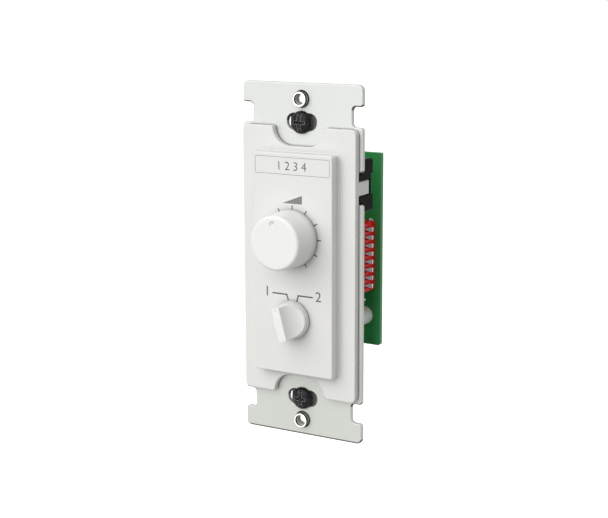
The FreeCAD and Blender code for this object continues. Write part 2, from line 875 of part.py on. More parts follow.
def board_screw(z):
    head_y = rear_back_y + board_screw_head_height
    profile = [
        (0, rear_back_y - board_screw_length),
        (board_screw_radius, rear_back_y - board_screw_length),
        (board_screw_radius, rear_back_y),
        (board_screw_head_radius, rear_back_y),
        (board_screw_head_radius, head_y),
        (0, head_y),
    ]
    cross = cross_recess(z, board_screw_cross_width, board_screw_cross_length,
                         head_y - board_screw_cross_depth, head_y)
    return revolved(0, z, profile).cut(cross)


def header_strip(y0, y1):
    half = header_count * header_pitch / 2
    strip = box(header_x - header_strip_width / 2, header_x + header_strip_width / 2,
                y0, y1, -half, half)
    reach = header_pin / 2 + seat_gap
    holes = [box(header_x - reach, header_x + reach, y0, y1, z - reach, z + reach)
             for z in row_zs(header_count, header_pitch, 0)]
    return strip.cut(holes)


def header_pins():
    reach = header_pin / 2
    return [box(header_x - reach, header_x + reach, control_board_y - header_tail,
                rear_back_y + header_tail, z - reach, z + reach)
            for z in row_zs(header_count, header_pitch, 0)]


# DIP switch, capacitor, chip and resistors

dip_zs = row_zs(dip_count, dip_pitch, dip_centre_z)
dip_pin_xs = (dip_pin_x, dip_pin_x + dip_pin_row)
block_zs = row_zs(block_ways, block_pitch, block_z)


def dip_body():
    z0 = dip_centre_z - dip_length / 2
    z1 = dip_centre_z + dip_length / 2
    body = box(dip_face_x - dip_width, dip_face_x, rear_board_y - dip_height, rear_board_y, z0, z1)
    cutters = [box(dip_face_x - dip_slot_depth, dip_face_x, dip_pivot_y - dip_slot_half,
                   dip_pivot_y + dip_slot_half, z - dip_slot_width / 2, z + dip_slot_width / 2)
               for z in dip_zs]
    bore_z0 = dip_zs[0] - dip_slot_width / 2 - dip_axle_reach - run_gap
    bore_z1 = dip_zs[-1] + dip_slot_width / 2 + dip_axle_reach + run_gap
    bore = dip_axle_radius + run_gap
    cutters.append(box(dip_pivot_x - bore, dip_pivot_x + bore, dip_pivot_y - bore,
                       dip_pivot_y + bore, bore_z0, bore_z1))
    return body.cut(cutters)


def dip_lever(z):
    """A lever that grows towards its tip, on a short six-sided axle."""
    root_x = dip_pivot_x - dip_axle_radius
    length = dip_face_x + dip_lever_reach - root_x
    root_half, tip_half = dip_lever_root_thick / 2, dip_lever_tip_thick / 2
    root_side, tip_side = dip_lever_root_width / 2, dip_lever_tip_width / 2
    arm = Part.makeWedge(-root_half, 0, -root_side, -tip_side, -tip_half,
                         root_half, length, root_side, tip_side, tip_half)
    arm.Placement = FreeCAD.Placement(V(root_x, dip_pivot_y, z),
                                      FreeCAD.Rotation(V(0, 0, 1), -90))
    turns = [math.radians(60 * k) for k in range(6)]
    flats = [(dip_pivot_x + dip_axle_radius * math.cos(turn),
              dip_pivot_y + dip_axle_radius * math.sin(turn)) for turn in turns]
    axle_half = dip_slot_width / 2 + dip_axle_reach
    lever = arm.fuse(prism_xy(flats, z - axle_half, z + axle_half))
    lever.rotate(V(dip_pivot_x, dip_pivot_y, z), V(0, 0, 1), dip_rest_tilt)
    return lever


def dip_pins():
    reach = dip_pin_width / 2
    return [box(x - reach, x + reach, rear_board_y, rear_back_y + dip_pin_tail, z - reach, z + reach)
            for x in dip_pin_xs for z in dip_zs]


def capacitor():
    """A can with a crimped bead near the board and a chamfered far edge."""
    top_y = rear_board_y - can_height
    bead_y = rear_board_y - can_bead_rise
    profile = [
        (0, top_y),
        (can_radius - can_edge, top_y),
        (can_radius, top_y + can_edge),
        (can_radius, bead_y - can_bead_height),
        (can_radius - can_bead_depth, bead_y - can_bead_height / 2),
        (can_radius, bead_y),
        (can_radius, rear_board_y),
        (0, rear_board_y),
    ]
    return revolved(can_x, can_z, profile)


def capacitor_leads():
    return [rod(can_x, can_z + offset, lead_radius, rear_board_y, rear_back_y + lead_tail)
            for offset in (-lead_pitch / 2, lead_pitch / 2)]


def chip_body():
    return box(chip_x - chip_width / 2, chip_x + chip_width / 2,
               rear_board_y - chip_lift - chip_height, rear_board_y - chip_lift,
               chip_z - chip_length / 2, chip_z + chip_length / 2)


def chip_leads():
    """Gull-wing leads that step from the sides of the chip down to the board."""
    solids = []
    bend = chip_lead_bend
    rise = chip_lead_rise
    for side in (-1, 1):
        edge_x = chip_x + side * chip_width / 2
        outline = [(0, rise + chip_lead_thick), (bend, rise + chip_lead_thick),
                   (bend, chip_lead_thick), (chip_lead_reach, chip_lead_thick),
                   (chip_lead_reach, 0), (bend - chip_lead_thick, 0),
                   (bend - chip_lead_thick, rise), (0, rise)]
        profile = [(edge_x + side * out, rear_board_y - up) for out, up in outline]
        for z in row_zs(chip_lead_count, chip_lead_pitch, chip_z):
            solids.append(prism_xy(profile, z - chip_lead_width / 2, z + chip_lead_width / 2))
    return solids


def chip_resistors():
    return [box(resistor_x - resistor_length / 2, resistor_x + resistor_length / 2,
                rear_board_y - resistor_height, rear_board_y,
                resistor_first_z + k * resistor_pitch - resistor_width / 2,
                resistor_first_z + k * resistor_pitch + resistor_width / 2)
            for k in range(resistor_count)]


# Terminal block for the wiring

cage_y0 = rear_back_y + block_floor
cage_y1 = cage_y0 + clamp_height
block_back_y = rear_back_y + block_height
block_head_y = block_back_y - block_screw_sink - block_screw_head_height


def terminal_block():
    """A moulding with a wire chamber and a screw shaft for every way."""
    half = block_ways * block_pitch / 2 + block_end
    profile = [(block_x0, rear_back_y), (block_x1, rear_back_y), (block_x1, block_back_y),
               (block_x0 + block_slope_x, block_back_y), (block_x0, block_back_y - block_slope_y)]
    body = prism_xy(profile, block_z - half, block_z + half)
    cutters = []
    for z in block_zs:
        reach = clamp_side / 2 + seat_gap
        pin_reach_x = block_pin / 2 + seat_gap
        cutters.append(box(block_x0, block_x + reach, cage_y0, cage_y1 + seat_gap,
                           z - reach, z + reach))
        shank = block_screw_radius + slip_gap
        cutters.append(box(block_x - shank, block_x + shank, cage_y1, block_head_y,
                           z - shank, z + shank))
        cutters.append(rod(block_x, z, block_screw_head_radius + slip_gap, block_head_y, block_back_y))
        cutters.append(box(block_x - pin_reach_x, block_x + pin_reach_x, rear_back_y, cage_y0,
                           z - pin_reach_x, z + pin_reach_x))
    return body.cut(cutters)


def terminal_clamp(z):
    """A square cage, open towards the wire, that the screw reaches through its top."""
    reach = clamp_side / 2
    cage = box(block_x - reach, block_x + reach, cage_y0, cage_y1, z - reach, z + reach)
    inside = box(block_x - reach, block_x + reach, cage_y0 + clamp_wall, cage_y1 - clamp_wall,
                 z - reach + clamp_wall, z + reach - clamp_wall)
    hole = rod(block_x, z, block_screw_radius + seat_gap, cage_y1 - clamp_wall, cage_y1)
    return cage.cut([inside, hole])


def terminal_screw(z):
    head = rod(block_x, z, block_screw_head_radius, block_head_y,
               block_head_y + block_screw_head_height)
    return head.fuse(rod(block_x, z, block_screw_radius, cage_y1 - 2 * clamp_wall, block_head_y))


def terminal_pin(z):
    reach = block_pin / 2
    return box(block_x - reach, block_x + reach, rear_board_y - block_pin_tail, cage_y0,
               z - reach, z + reach)


def all_nodes():
    nodes = {
        "mounting_strap": [strap()],
        "cover_screw_collars": [collar(z) for z in plate_screw_zs],
        "box_mounting_screws": [box_screw(z) for z in box_screw_zs],
        "screw_retainers": [retainer(z) for z in box_screw_zs],
        "front_bezel": [bezel()],
        "label_strip": [label_strip()],
        "rear_carrier": [carrier()],
        "volume_bushing": [volume_bushing()],
        "volume_case": [volume_case()],
        "volume_wafer": [volume_wafer()],
        "volume_pins": control_pins(volume_pin_z),
        "volume_lock_washer": [lock_washer(volume_z)],
        "volume_nut": [nut(volume_z)],
        "volume_shaft": [control_shaft(volume_z, volume_shaft_rise, volume_rest_turn)],
        "volume_shaft_clip": [shaft_clip(volume_z, volume_rest_turn)],
        "volume_wiper": [volume_wiper()],
        "volume_knob": [volume_knob()],
        "selector_bushing": [selector_bushing()],
        "selector_case": [selector_case()],
        "selector_wafer": [selector_wafer()],
        "selector_pins": control_pins(selector_pin_z),
        "selector_lock_washer": [lock_washer(selector_z)],
        "selector_nut": [nut(selector_z)],
        "selector_shaft": [control_shaft(selector_z, selector_shaft_rise, selector_rest_turn)],
        "selector_shaft_clip": [shaft_clip(selector_z, selector_rest_turn)],
        "selector_rotor": [selector_rotor()],
        "selector_knob": [selector_knob()],
        "control_board": [control_board()],
        "rear_board": [rear_board()],
        "board_standoffs": [standoff(z) for z in standoff_zs],
        "board_screws": [board_screw(z) for z in standoff_zs],
        "header_housings": [
            header_strip(control_back_y, control_back_y + header_strip_height),
            header_strip(rear_board_y - header_socket_height, rear_board_y),
        ],
        "header_pins": header_pins(),
        "dip_switch_body": [dip_body()],
        "dip_switch_pins": dip_pins(),
        "filter_capacitor": [capacitor()],
        "capacitor_leads": capacitor_leads(),
        "logic_chip": [chip_body()],
        "logic_chip_leads": chip_leads(),
        "chip_resistors": chip_resistors(),
        "terminal_block": [terminal_block()],
        "terminal_clamps": [terminal_clamp(z) for z in block_zs],
        "terminal_screws": [terminal_screw(z) for z in block_zs],
        "terminal_pins": [terminal_pin(z) for z in block_zs],
    }
    for number, z in enumerate(reversed(dip_zs), start=1):
        nodes[f"dip_lever_{number}"] = [dip_lever(z)]
    return nodes


os.makedirs("parts", exist_ok=True)
for name, solids in all_nodes().items():
    shape = solids[0] if len(solids) == 1 else Part.makeCompound(solids)
    shape.exportStep(f"parts/{name}.step")
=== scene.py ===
"""The audio zone controller, dressed over its solids.

Pieces are drawn in millimetres in the frame's own axes (X to the viewer's right, Y into the
wall, Z up) and scaled to metres when they become objects.
"""
import math

import bmesh
import bpy
from mathutils import Matrix, Vector

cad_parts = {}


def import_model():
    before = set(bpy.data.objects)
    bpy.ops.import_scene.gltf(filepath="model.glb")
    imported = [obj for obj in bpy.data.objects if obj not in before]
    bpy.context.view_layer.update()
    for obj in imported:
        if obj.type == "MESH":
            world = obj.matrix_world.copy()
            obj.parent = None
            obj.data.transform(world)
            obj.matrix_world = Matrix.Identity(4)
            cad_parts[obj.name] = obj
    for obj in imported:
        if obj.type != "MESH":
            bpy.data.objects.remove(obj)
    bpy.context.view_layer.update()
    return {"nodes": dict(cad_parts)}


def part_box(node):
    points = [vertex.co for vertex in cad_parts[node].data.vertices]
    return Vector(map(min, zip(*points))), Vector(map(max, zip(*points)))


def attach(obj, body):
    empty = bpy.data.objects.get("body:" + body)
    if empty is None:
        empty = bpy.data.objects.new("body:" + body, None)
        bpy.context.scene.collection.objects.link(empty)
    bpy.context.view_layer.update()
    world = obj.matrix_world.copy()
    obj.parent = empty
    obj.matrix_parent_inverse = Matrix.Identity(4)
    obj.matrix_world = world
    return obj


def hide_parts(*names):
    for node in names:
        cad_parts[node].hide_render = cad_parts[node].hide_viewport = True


MM = 0.001
MERGE = 1e-4   # points this close are one point
NEAR = 1e-3    # how close a place has to be to pass a test
PAST = 1.0     # how far a cutter reaches past the face that it cuts
SQUARE = 60    # edges that turn by more than this many degrees are square ones

# Camera fitted to the photograph
CAMERA_AZIMUTH = 30.2456
CAMERA_ELEVATION = 11.6177
CAMERA_ROLL = -0.2007
CAMERA_DISTANCE = 416.63
CAMERA_TARGET = (-0.13, 0.0, 0.904)
CAMERA_CLIP = (0.01, 20)
PHOTO_WIDTH = 608
FOCAL_PIXELS = 1403.2
SENSOR_WIDTH = 36.0

# Studio: floor, key light and the level of the surroundings
FLOOR_Z = -120.0
FLOOR_SIZE = 8000.0
FLOOR_COLOR = 0.80
FLOOR_ROUGHNESS = 0.9
FLOOR_BOUNCE = 0.32
FLOOR_GLOW = 0.66
WORLD_LEVEL = 0.50
KEY_PLACE = (-500.0, -1800.0, 1180.0)
KEY_SIZE = 3000.0
KEY_POWER = 45.0

# Mounting strap. A notch is (depth, height, corner radius)
STRAP_FRONT = -1.3
STRAP_CORNER = 1.7
STRAP_ROLL = 0.42
EAR_NOTCH = (3.45, 5.9, 1.2)
EAR_NOTCH_Z = 43.95
CLIP_NOTCH = (3.4, 9.2, 0.8)
NOTCH_TIP = 0.8
SCREW_SLOT = (9.8, 4.7)
SCREW_SLOT_CORNER = 2.34
SCREW_Z = 41.67
PLATE_SCREW_Z = 48.42
STRAP_SHAFT_HOLE = 3.7
PEG_HOLE = 1.6

# Bezel moulding
FLANGE_FRONT = -3.45
FLANGE_CORNER = 1.5
FLANGE_EDGE = 0.26
FLANGE_OVERLAP = 0.2
SHADOW_GAP = 0.16
SHADOW_GAP_INSET = 0.5
BACK_NOTCH_X = 12.6
BACK_NOTCH_WIDTH = 0.9
BACK_NOTCH_DEPTH = 0.8
PANEL_WIDTH = 26.55
PANEL_END_STEP = 7.32
PANEL_CORNER = 0.7
PANEL_EDGE = 0.34
PANEL_FOOT = 0.3
PANEL_WALL = 1.9
SCREW_MOUTH_WIDTH = 17.2
SCREW_MOUTH_DEPTH = 5.7
SCREW_MOUTH_CORNER = 5.6
MOUTH_TIP = 0.75
LABEL_GAP = 0.09
LABEL_CORNER = 0.42
LABEL_THICK = 0.4
PANEL_SHAFT_HOLE = 4.0
ARM_THICK = 1.4
ARM_HEIGHT = 4.5
ARM_Z = 23.35
ARM_REACH = 5.05
ARM_EDGE = 0.38
ARM_BARB = 0.75
ARM_BARB_LENGTH = 1.4
PEG_PROFILE = ((0, -1.8), (1.5, -1.8), (1.5, -0.15), (1.35, 0), (0, 0))
PEG_X = 15.5
PEG_Z = -24.0

# Knobs. A mark is (distance from the axis, half width, depth)
KNOB_STEPS = 160
KNOB_SMOOTH_ANGLE = 24
VOLUME_FACE_RADIUS = 8.02
VOLUME_FACE_EDGE = 0.9
VOLUME_SKIRT_EDGE = 0.07
VOLUME_WALL = 1.4
VOLUME_FACE_WALL = 1.8
VOLUME_HUB_RADIUS = 4.6
VOLUME_BORE = 3.02
VOLUME_RIB_THICK = 1.0
VOLUME_RIB_SETBACK = 0.3
VOLUME_RIB_COUNT = 6
VOLUME_MARK = (5.6, 1.0, 0.42)
VOLUME_REST_TURN = -6.0
SELECTOR_FACE_RADIUS = 5.0
SELECTOR_BAR_WIDTH = 2.6
SELECTOR_RIM_RADIUS = 5.42
SELECTOR_RIM_RISE = 1.95
SELECTOR_SCOOP_SAG = 1.15
SELECTOR_SCOOP_STEPS = 300
SELECTOR_EDGE = 0.13
SELECTOR_EDGE_TURN = 26
SELECTOR_BACK_MARGIN = 0.1
SELECTOR_MARK = (3.9, 0.6, 0.1)
SELECTOR_REST_TURN = -15.0
SELECTOR_HUB_RADIUS = 3.7
SELECTOR_HUB_DEPTH = 2.3

# Printing on the panel
INK_DEPTH = 0.02
INK_LINE = 0.42
TICK_RADIUS = 8.93
TICK_LENGTH = 1.4
TICK_WIDTH = 0.32
TICK_STEP = 30
TICK_LIMIT = 150
WEDGE = ((-3.24, 18.53), (3.3, 18.53), (3.3, 21.06))
LEADER = ((6.68, -8.67), (2.0, -8.67), (1.42, -10.4))
NUMBER_HEIGHT = 2.9
NUMBER_X = 8.7
NUMBER_Z = -8.3
LABEL_TEXT = "1 2 3 4"
LABEL_NUMBER_HEIGHT = 2.45
LABEL_NUMBER_X = 0.1
LABEL_NUMBER_THIN = 0.02

# Threads. A ridge's corners are (0 at the foot or 1 at the crest, share of the pitch)
RIDGE = ((0, 0), (0, 0.86), (1, 0.5), (1, 0.36))
RIDGE_RUN_OUT = 0.9
RIDGE_SINK = 0.1

# Box screws. The point is (how much narrower, how long)
SCREW_HEAD_RADIUS = 3.35
SCREW_HEAD_EDGE = 0.07
SCREW_HEAD_TURN = 50
SCREW_DOME_STEPS = 6
SCREW_RIM = 0.35
SCREW_NECK_RADIUS = 1.45
SCREW_NECK_SINK = 0.1
SCREW_SHOULDER = 0.2
SCREW_THREAD_START = 1.1
SCREW_THREAD_STOP = 0.3
SCREW_RADIUS = 1.75
SCREW_PITCH = 0.794
SCREW_THREAD_DEPTH = 0.42
SCREW_POINT = (0.4, 0.5)
SLOT_WIDTH = 1.1
SLOT_DEPTH = 0.7
CROSS_WIDTH = 0.9
CROSS_LENGTH = 3.6
CROSS_DEPTH = 1.3

# Collars for the plate's screws
COLLAR_RADIUS = 2.28
COLLAR_BORE = 1.4
COLLAR_RIM_RADIUS = 2.8
COLLAR_RIM_EDGE = 0.12
COLLAR_LIP = 0.28
COLLAR_BORE_EDGE = 0.1
COLLAR_COUNTERSINK = 0.25
COLLAR_PITCH = 0.7
COLLAR_THREAD_INSET = (0.35, 0.05)

# DIP switch levers
LEVER_COUNT = 8
LEVER_PIVOT = Vector((6.85, 24.0, 0))
LEVER_AXLE_RADIUS = 0.4
LEVER_LENGTH = 3.7
LEVER_ROOT = (0.9, 0.3)
LEVER_TIP = (1.3, 1.3)
LEVER_EDGE = 0.08
LEVER_TILT = 12.0

# Parts on the rear board. A screw's top is a share of its radius, and its edges are those of
# the side, the top and the seat
PIN_PITCH = 2.54
HEADER_X = -7.5
HEADER_PINS = 8
SWITCH_Z = -2.1
SWITCH_PIN_X = (3.15, 6.96)
CAN_PLACE = (5.05, -21.75)
CAN_LEAD_OFFSET = 1.25
CAN_EDGE = 1.0
CAN_BEAD_RISE = 1.2
CAN_BEAD_HEIGHT = 1.4
CAN_BEAD_DEPTH = 0.25
CAN_BEAD_EDGE = 0.3
CHIP_PLACE = (-4.2, 17.0)
CHIP_PIN_PITCH = 1.27
CHIP_PIN_REACH = 2.8
RESISTOR_COUNT = 4
RESISTOR_PLACE = (1.4, 13.4)
RESISTOR_STEP = 2.4
RESISTOR_REACH = 0.7
TERMINAL_X = -2.6
TERMINAL_WAYS = 5
TERMINAL_PITCH = 3.81
TERMINAL_SHANK = 0.9
TERMINAL_HEAD_HEIGHT = 1.2
TERMINAL_HEAD_EDGE = 0.18
TERMINAL_SLOT = 0.55
TERMINAL_TURNS = (12, -28, 5, 40, -9)
BOARD_SCREW_SHANK = 1.45
BOARD_SCREW_SIDE = 0.55
BOARD_SCREW_TOP = 0.62
BOARD_SCREW_EDGES = (0.35, 0.5, 0.1)
BOARD_CROSS = (0.7, 3.0, 1.0)

# Solder. A joint is (pin radius, pad radius), and its outline gives shares of the pad's and
# the pin's radius and of the rise
HEADER_JOINT = (0.42, 0.82)
SWITCH_JOINT = (0.33, 0.75)
CAN_JOINT = (0.32, 0.85)
TERMINAL_JOINT = (0.58, 1.15)
CONTROL_JOINT = (0.42, 0.9)
CONTROL_PIN_X = (-4.5, 0, 4.5)
CONTROL_PIN_Z = (-1.35, -6.2)
SOLDER_RISE = 0.85
SOLDER_OUTLINE = ((0, 0, 0), (1, 0, 0), (1, 0, 0.05), (0.78, 0.22, 0.16), (0.45, 0.55, 0.40),
                  (0.15, 0.85, 0.72), (0, 1, 1.0), (0, 0, 1.0))
TEST_PADS = ((7.1, 8.7), (4.65, -16.84))
TEST_PAD_PROFILE = ((0, 0), (0.66, 0), (0.62, 0.14), (0.42, 0.3), (0, 0.36))

# Tracks, rings and printed outlines on the rear board
TRACK_WIDTH = 0.16
TRACK_RISE = 0.035
LANE_START = (9.75, 13.6)
LANE_STEP = (0.24, 0.42)
LANE_END_X = 3.4
LANE_END_JOG = 2.0
LANE_STAGGER = 0.62
FEED_END_Z = 6.9
SUPPLY_PATH = ((5.05, -27.0), (-3.6, -27.0), (-8.9, -21.5), (-8.9, 12.0), (-6.4, 14.5),
               (-6.4, 24.0))
CHIP_BEND = (0.5, 1.4)
CHIP_LANE = (-7.8, 11.4)
CHIP_LANE_STEP = (0.42, 0.7)
RESISTOR_RING_X = 4.3
VIA_RADIUS = 0.26
VIA_BORE = 0.11
VIA_RISE = 0.05
OUTLINE_WIDTH = 0.16
CHIP_OUTLINE = (4.3, 5.6)
RESISTOR_OUTLINE = (2.6, 1.75)
BLOCK_MARGIN = 0.5

# Finishes that need no more than uneven colour, uneven gloss and a fine relief: name, colour,
# roughness, metal, then (grains to the mm, strength) of the colour and of the gloss, the
# relief's (grains to the mm, height, rounding of edges) and the sheen
ALONG_PRESS, ROUND_AXIS = (0.2, 1, 2), (1, 8, 1)   # how a grain is stretched
FINISHES = (
    ("plated_steel", (0.66, 0.66, 0.63), 0.30, 1.0, (1.0, 0.02), (3.0, 0.05),
     (6.0, 0.0006, 0.06), 0.5),
    ("pressed_steel", (0.62, 0.62, 0.59), 0.36, 1.0, (0.8, 0.03), (1.5, 0.06, ALONG_PRESS),
     (4.0, 0.0010, 0.10), 0.5),
    ("zinc_casting", (0.58, 0.58, 0.56), 0.45, 0.95, (1.0, 0.05), (2.5, 0.08),
     (3.0, 0.004, 0.10), 0.5),
    ("shaft_alloy", (0.78, 0.78, 0.76), 0.26, 1.0, (1.0, 0.03), (4.0, 0.06, ROUND_AXIS),
     (8.0, 0.003, 0.06, ROUND_AXIS), 0.5),
    ("tinned_metal", (0.72, 0.73, 0.72), 0.30, 1.0, (2.0, 0.05), (3.0, 0.08),
     (5.0, 0.006, 0.04), 0.5),
    ("gold_pin", (0.83, 0.64, 0.28), 0.25, 1.0, (2.0, 0.05), (3.0, 0.06), (6.0, 0.003, 0.05), 0.5),
    ("resin_board", (0.30, 0.16, 0.07), 0.55, 0.0, (1.5, 0.18), (2.0, 0.06), (3.0, 0.01, 0.06),
     0.5),
    ("moulded_black", (0.014, 0.014, 0.015), 0.45, 0.0, (1.0, 0.15), (3.0, 0.06),
     (5.0, 0.008, 0.08), 0.2),
    ("retainer_plastic", (0.17, 0.17, 0.175), 0.42, 0.0, (1.0, 0.15), (3.0, 0.06),
     (5.0, 0.006, 0.10), 0.4),
    ("carrier_plastic", (0.0045, 0.0060, 0.0050), 0.38, 0.0, (0.5, 0.15), (2.0, 0.06),
     (5.0, 0.004, 0.12), 0.02),
    ("board_track", (0.050, 0.39, 0.115), 0.32, 0.0, (0.5, 0.05), (1.5, 0.04), (3.0, 0.003),
     0.12),
    ("switch_red", (0.90, 0.010, 0.014), 0.28, 0.0, (0.8, 0.06), (2.0, 0.05),
     (4.0, 0.004, 0.08), 0.10),
    ("can_sleeve", (0.80, 0.82, 0.80), 0.45, 0.0, (0.6, 0.05), (1.5, 0.05), (3.0, 0.003), 0.5),
    ("terminal_plastic", (0.035, 0.26, 0.11), 0.40, 0.0, (0.8, 0.06), (2.0, 0.06),
     (4.0, 0.008, 0.10), 0.5),
    ("solder", (0.66, 0.67, 0.66), 0.24, 1.0, (3.0, 0.06), (4.0, 0.08), (5.0, 0.006), 0.5),
)

# Inks: colour and how much it varies
INKS = {
    "panel_ink": ((0.060, 0.060, 0.064), 0.1),
    "wedge_ink": ((0.205, 0.205, 0.208), 0.06),
    "grey_ink": ((0.10, 0.10, 0.105), 0.08),
    "label_ink": ((0.045, 0.045, 0.048), 0.08),
    "board_ink": ((0.50, 0.54, 0.50), 0.06),
}

# Which nodes of the solids have which finish. A control's node goes by what follows "volume_"
# or "selector_", and a lever by its name without its number
DRESSED_NODES = {
    "strap_metal": ("mounting_strap",),
    "collar_metal": ("cover_screw_collars",),
    "black_steel": ("box_mounting_screws",),
    "retainer_plastic": ("screw_retainers",),
    "bezel_plastic": ("front_bezel",),
    "label_plastic": ("label_strip",),
    "carrier_plastic": ("rear_carrier",),
    "knob_plastic": ("knob",),
    "zinc_casting": ("bushing",),
    "pressed_steel": ("case",),
    "resin_board": ("wafer",),
    "shaft_alloy": ("shaft",),
    "moulded_black": ("wiper", "rotor", "header_housings", "logic_chip", "chip_resistors"),
    "plated_steel": ("lock_washer", "nut", "shaft_clip", "board_standoffs", "board_screws",
                     "terminal_clamps", "terminal_screws"),
    "tinned_metal": ("pins", "dip_switch_pins", "capacitor_leads", "logic_chip_leads",
                     "terminal_pins"),
    "gold_pin": ("header_pins",),
    "board_mask": ("control_board", "rear_board"),
    "switch_red": ("dip_switch_body",),
    "lever_white": ("dip_lever",),
    "can_sleeve": ("filter_capacitor",),
    "terminal_plastic": ("terminal_block",),
}
LOOKS = {}   # every look's material by name, filled in as the looks are made
BLACK, WHITE = (0, 0, 0), (1, 1, 1)
NOISE_LOW, NOISE_HIGH = 0.3, 0.7   # most of a noise lies between these


# Small geometry helpers

def box_mm(node):
    """Lowest and highest corners of a CAD node, in millimetres."""
    low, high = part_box(node)
    return low / MM, high / MM


def centre_mm(node):
    """The middle of a CAD node's box, in millimetres."""
    low, high = box_mm(node)
    return (low + high) / 2


def row(count, pitch, middle=0.0):
    """Evenly spaced places about a middle."""
    return [middle + (k - (count - 1) / 2) * pitch for k in range(count)]


def turn_about(x, z, degrees):
    """The matrix that turns clockwise, for the viewer, about an axis along Y."""
    centre = Vector((x, 0, z))
    turn = Matrix.Rotation(math.radians(degrees), 4, "Y")
    return Matrix.Translation(centre) @ turn @ Matrix.Translation(-centre)


def put_in_scene(name, data):
    """A new object of the given mesh, light, camera or text."""
    thing = bpy.data.objects.new(name, data)
    bpy.context.scene.collection.objects.link(thing)
    return thing


def mesh_of(bm, name="part"):
    """A mesh made of a finished bmesh, which is freed."""
    mesh = bpy.data.meshes.new(name)
    bm.to_mesh(mesh)
    bm.free()
    return mesh


def add_piece(name, bm, look, replaces=(), body="base", smooth_angle=35):
    """Makes an object of a bmesh and ties it to its CAD body."""
    bmesh.ops.remove_doubles(bm, verts=bm.verts, dist=MERGE)
    bmesh.ops.recalc_face_normals(bm, faces=bm.faces)
    bmesh.ops.scale(bm, vec=(MM, MM, MM), verts=bm.verts)
    mesh = mesh_of(bm, name)
    mesh.materials.append(LOOKS[look])
    mesh.shade_smooth()
    mesh.set_sharp_from_angle(angle=math.radians(smooth_angle))
    piece = put_in_scene(name, mesh)
    piece.modifiers.new("flat_faces_stay_flat", "WEIGHTED_NORMAL").keep_sharp = True
    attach(piece, body)
    if replaces:
        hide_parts(*replaces)


def join_in(bm, part):
    """Adds a finished bmesh to another."""
    mesh = mesh_of(part)
    bm.from_mesh(mesh)
    bpy.data.meshes.remove(mesh)


def soften(bm, edges, width, steps=3, clamp=True):
    """Rounds edges by a width."""
    bmesh.ops.bevel(bm, geom=edges, offset=width, offset_type="OFFSET", segments=steps,
                    profile=0.5, affect="EDGES", clamp_overlap=clamp, material=-1)


def edges_where(bm, test):
    """Edges whose two ends both pass the test."""
    return [edge for edge in bm.edges if all(test(vert.co) for vert in edge.verts)]


def sharp_edges(bm, degrees, test=lambda place: True):
    """Edges that turn by more than an angle and whose two ends pass the test."""
    return [edge for edge in edges_where(bm, test) if edge.is_manifold
            and edge.calc_face_angle(0) > math.radians(degrees)]


def corner_edges(bm, test=lambda place: True):
    """Edges along Y whose two ends pass the test: the corners of a plate's outline."""
    def along_y(start, end):
        return abs(abs(start.y - end.y) - (start - end).length) < MERGE
    return [edge for edge in edges_where(bm, test) if along_y(*(vert.co for vert in edge.verts))]


def plate(width, height, corner, y0, y1, x=0.0, z=0.0, steps=8):
    """A plate lying across Y with its four corners rounded."""
    bm = bmesh.new()
    bmesh.ops.create_cube(bm, size=1.0)
    bmesh.ops.scale(bm, vec=(width, y1 - y0, height), verts=bm.verts)
    bmesh.ops.translate(bm, vec=(x, (y0 + y1) / 2, z), verts=bm.verts)
    if corner:
        soften(bm, corner_edges(bm), corner, steps)
    return bm


def spun(profile, x=0.0, z=0.0, steps=64, closed=False):
    """A profile of (radius, y) points spun right round an axis along Y."""
    bm = bmesh.new()
    verts = [bm.verts.new((x + radius, y, z)) for radius, y in profile]
    pairs = list(zip(verts, verts[1:]))
    if closed:
        pairs.append((verts[-1], verts[0]))
    edges = [bm.edges.new(pair) for pair in pairs]
    bmesh.ops.spin(bm, geom=verts + edges, cent=(x, 0, z), axis=(0, 1, 0),
                   angle=2 * math.pi, steps=steps, use_merge=True)
    bmesh.ops.remove_doubles(bm, verts=bm.verts, dist=MERGE)
    bmesh.ops.recalc_face_normals(bm, faces=bm.faces)
    return bm


def rod(radius, y0, y1, x=0.0, z=0.0, steps=48):
    """A plain round bar along Y."""
    return spun([(0, y0), (radius, y0), (radius, y1), (0, y1)], x, z, steps)


def soften_rings(bm, rings, x=0.0, z=0.0):
    """Rounds the edges on circles about an axis along Y: (radius, y, width, steps) each."""
    for radius, y, width, steps in rings:
        def on_ring(place):
            return (abs(place.y - y) < NEAR
                    and abs(math.hypot(place.x - x, place.z - z) - radius) < NEAR)
        soften(bm, edges_where(bm, on_ring), width, steps)


def extruded(corners, step):
    """A flat outline of corners carried along a vector."""
    bm = bmesh.new()
    verts = [bm.verts.new(corner) for corner in corners]
    face = bmesh.ops.contextual_create(bm, geom=verts)["faces"]
    carried = bmesh.ops.extrude_face_region(bm, geom=face, use_keep_orig=True)["geom"]
    moved = [item for item in carried if isinstance(item, bmesh.types.BMVert)]
    bmesh.ops.translate(bm, vec=step, verts=moved)
    bmesh.ops.recalc_face_normals(bm, faces=bm.faces)
    return bm


def bar(start, end, width, y0, y1):
    """A flat bar from one (x, z) point to another."""
    run = Vector(end) - Vector(start)
    bm = plate(run.length + width, width, 0, y0, y1)
    middle = (Vector(start) + Vector(end)) / 2
    bm.transform(Matrix.Translation((middle.x, 0, middle.y))
                 @ Matrix.Rotation(-math.atan2(run.y, run.x), 4, "Y"))
    return bm


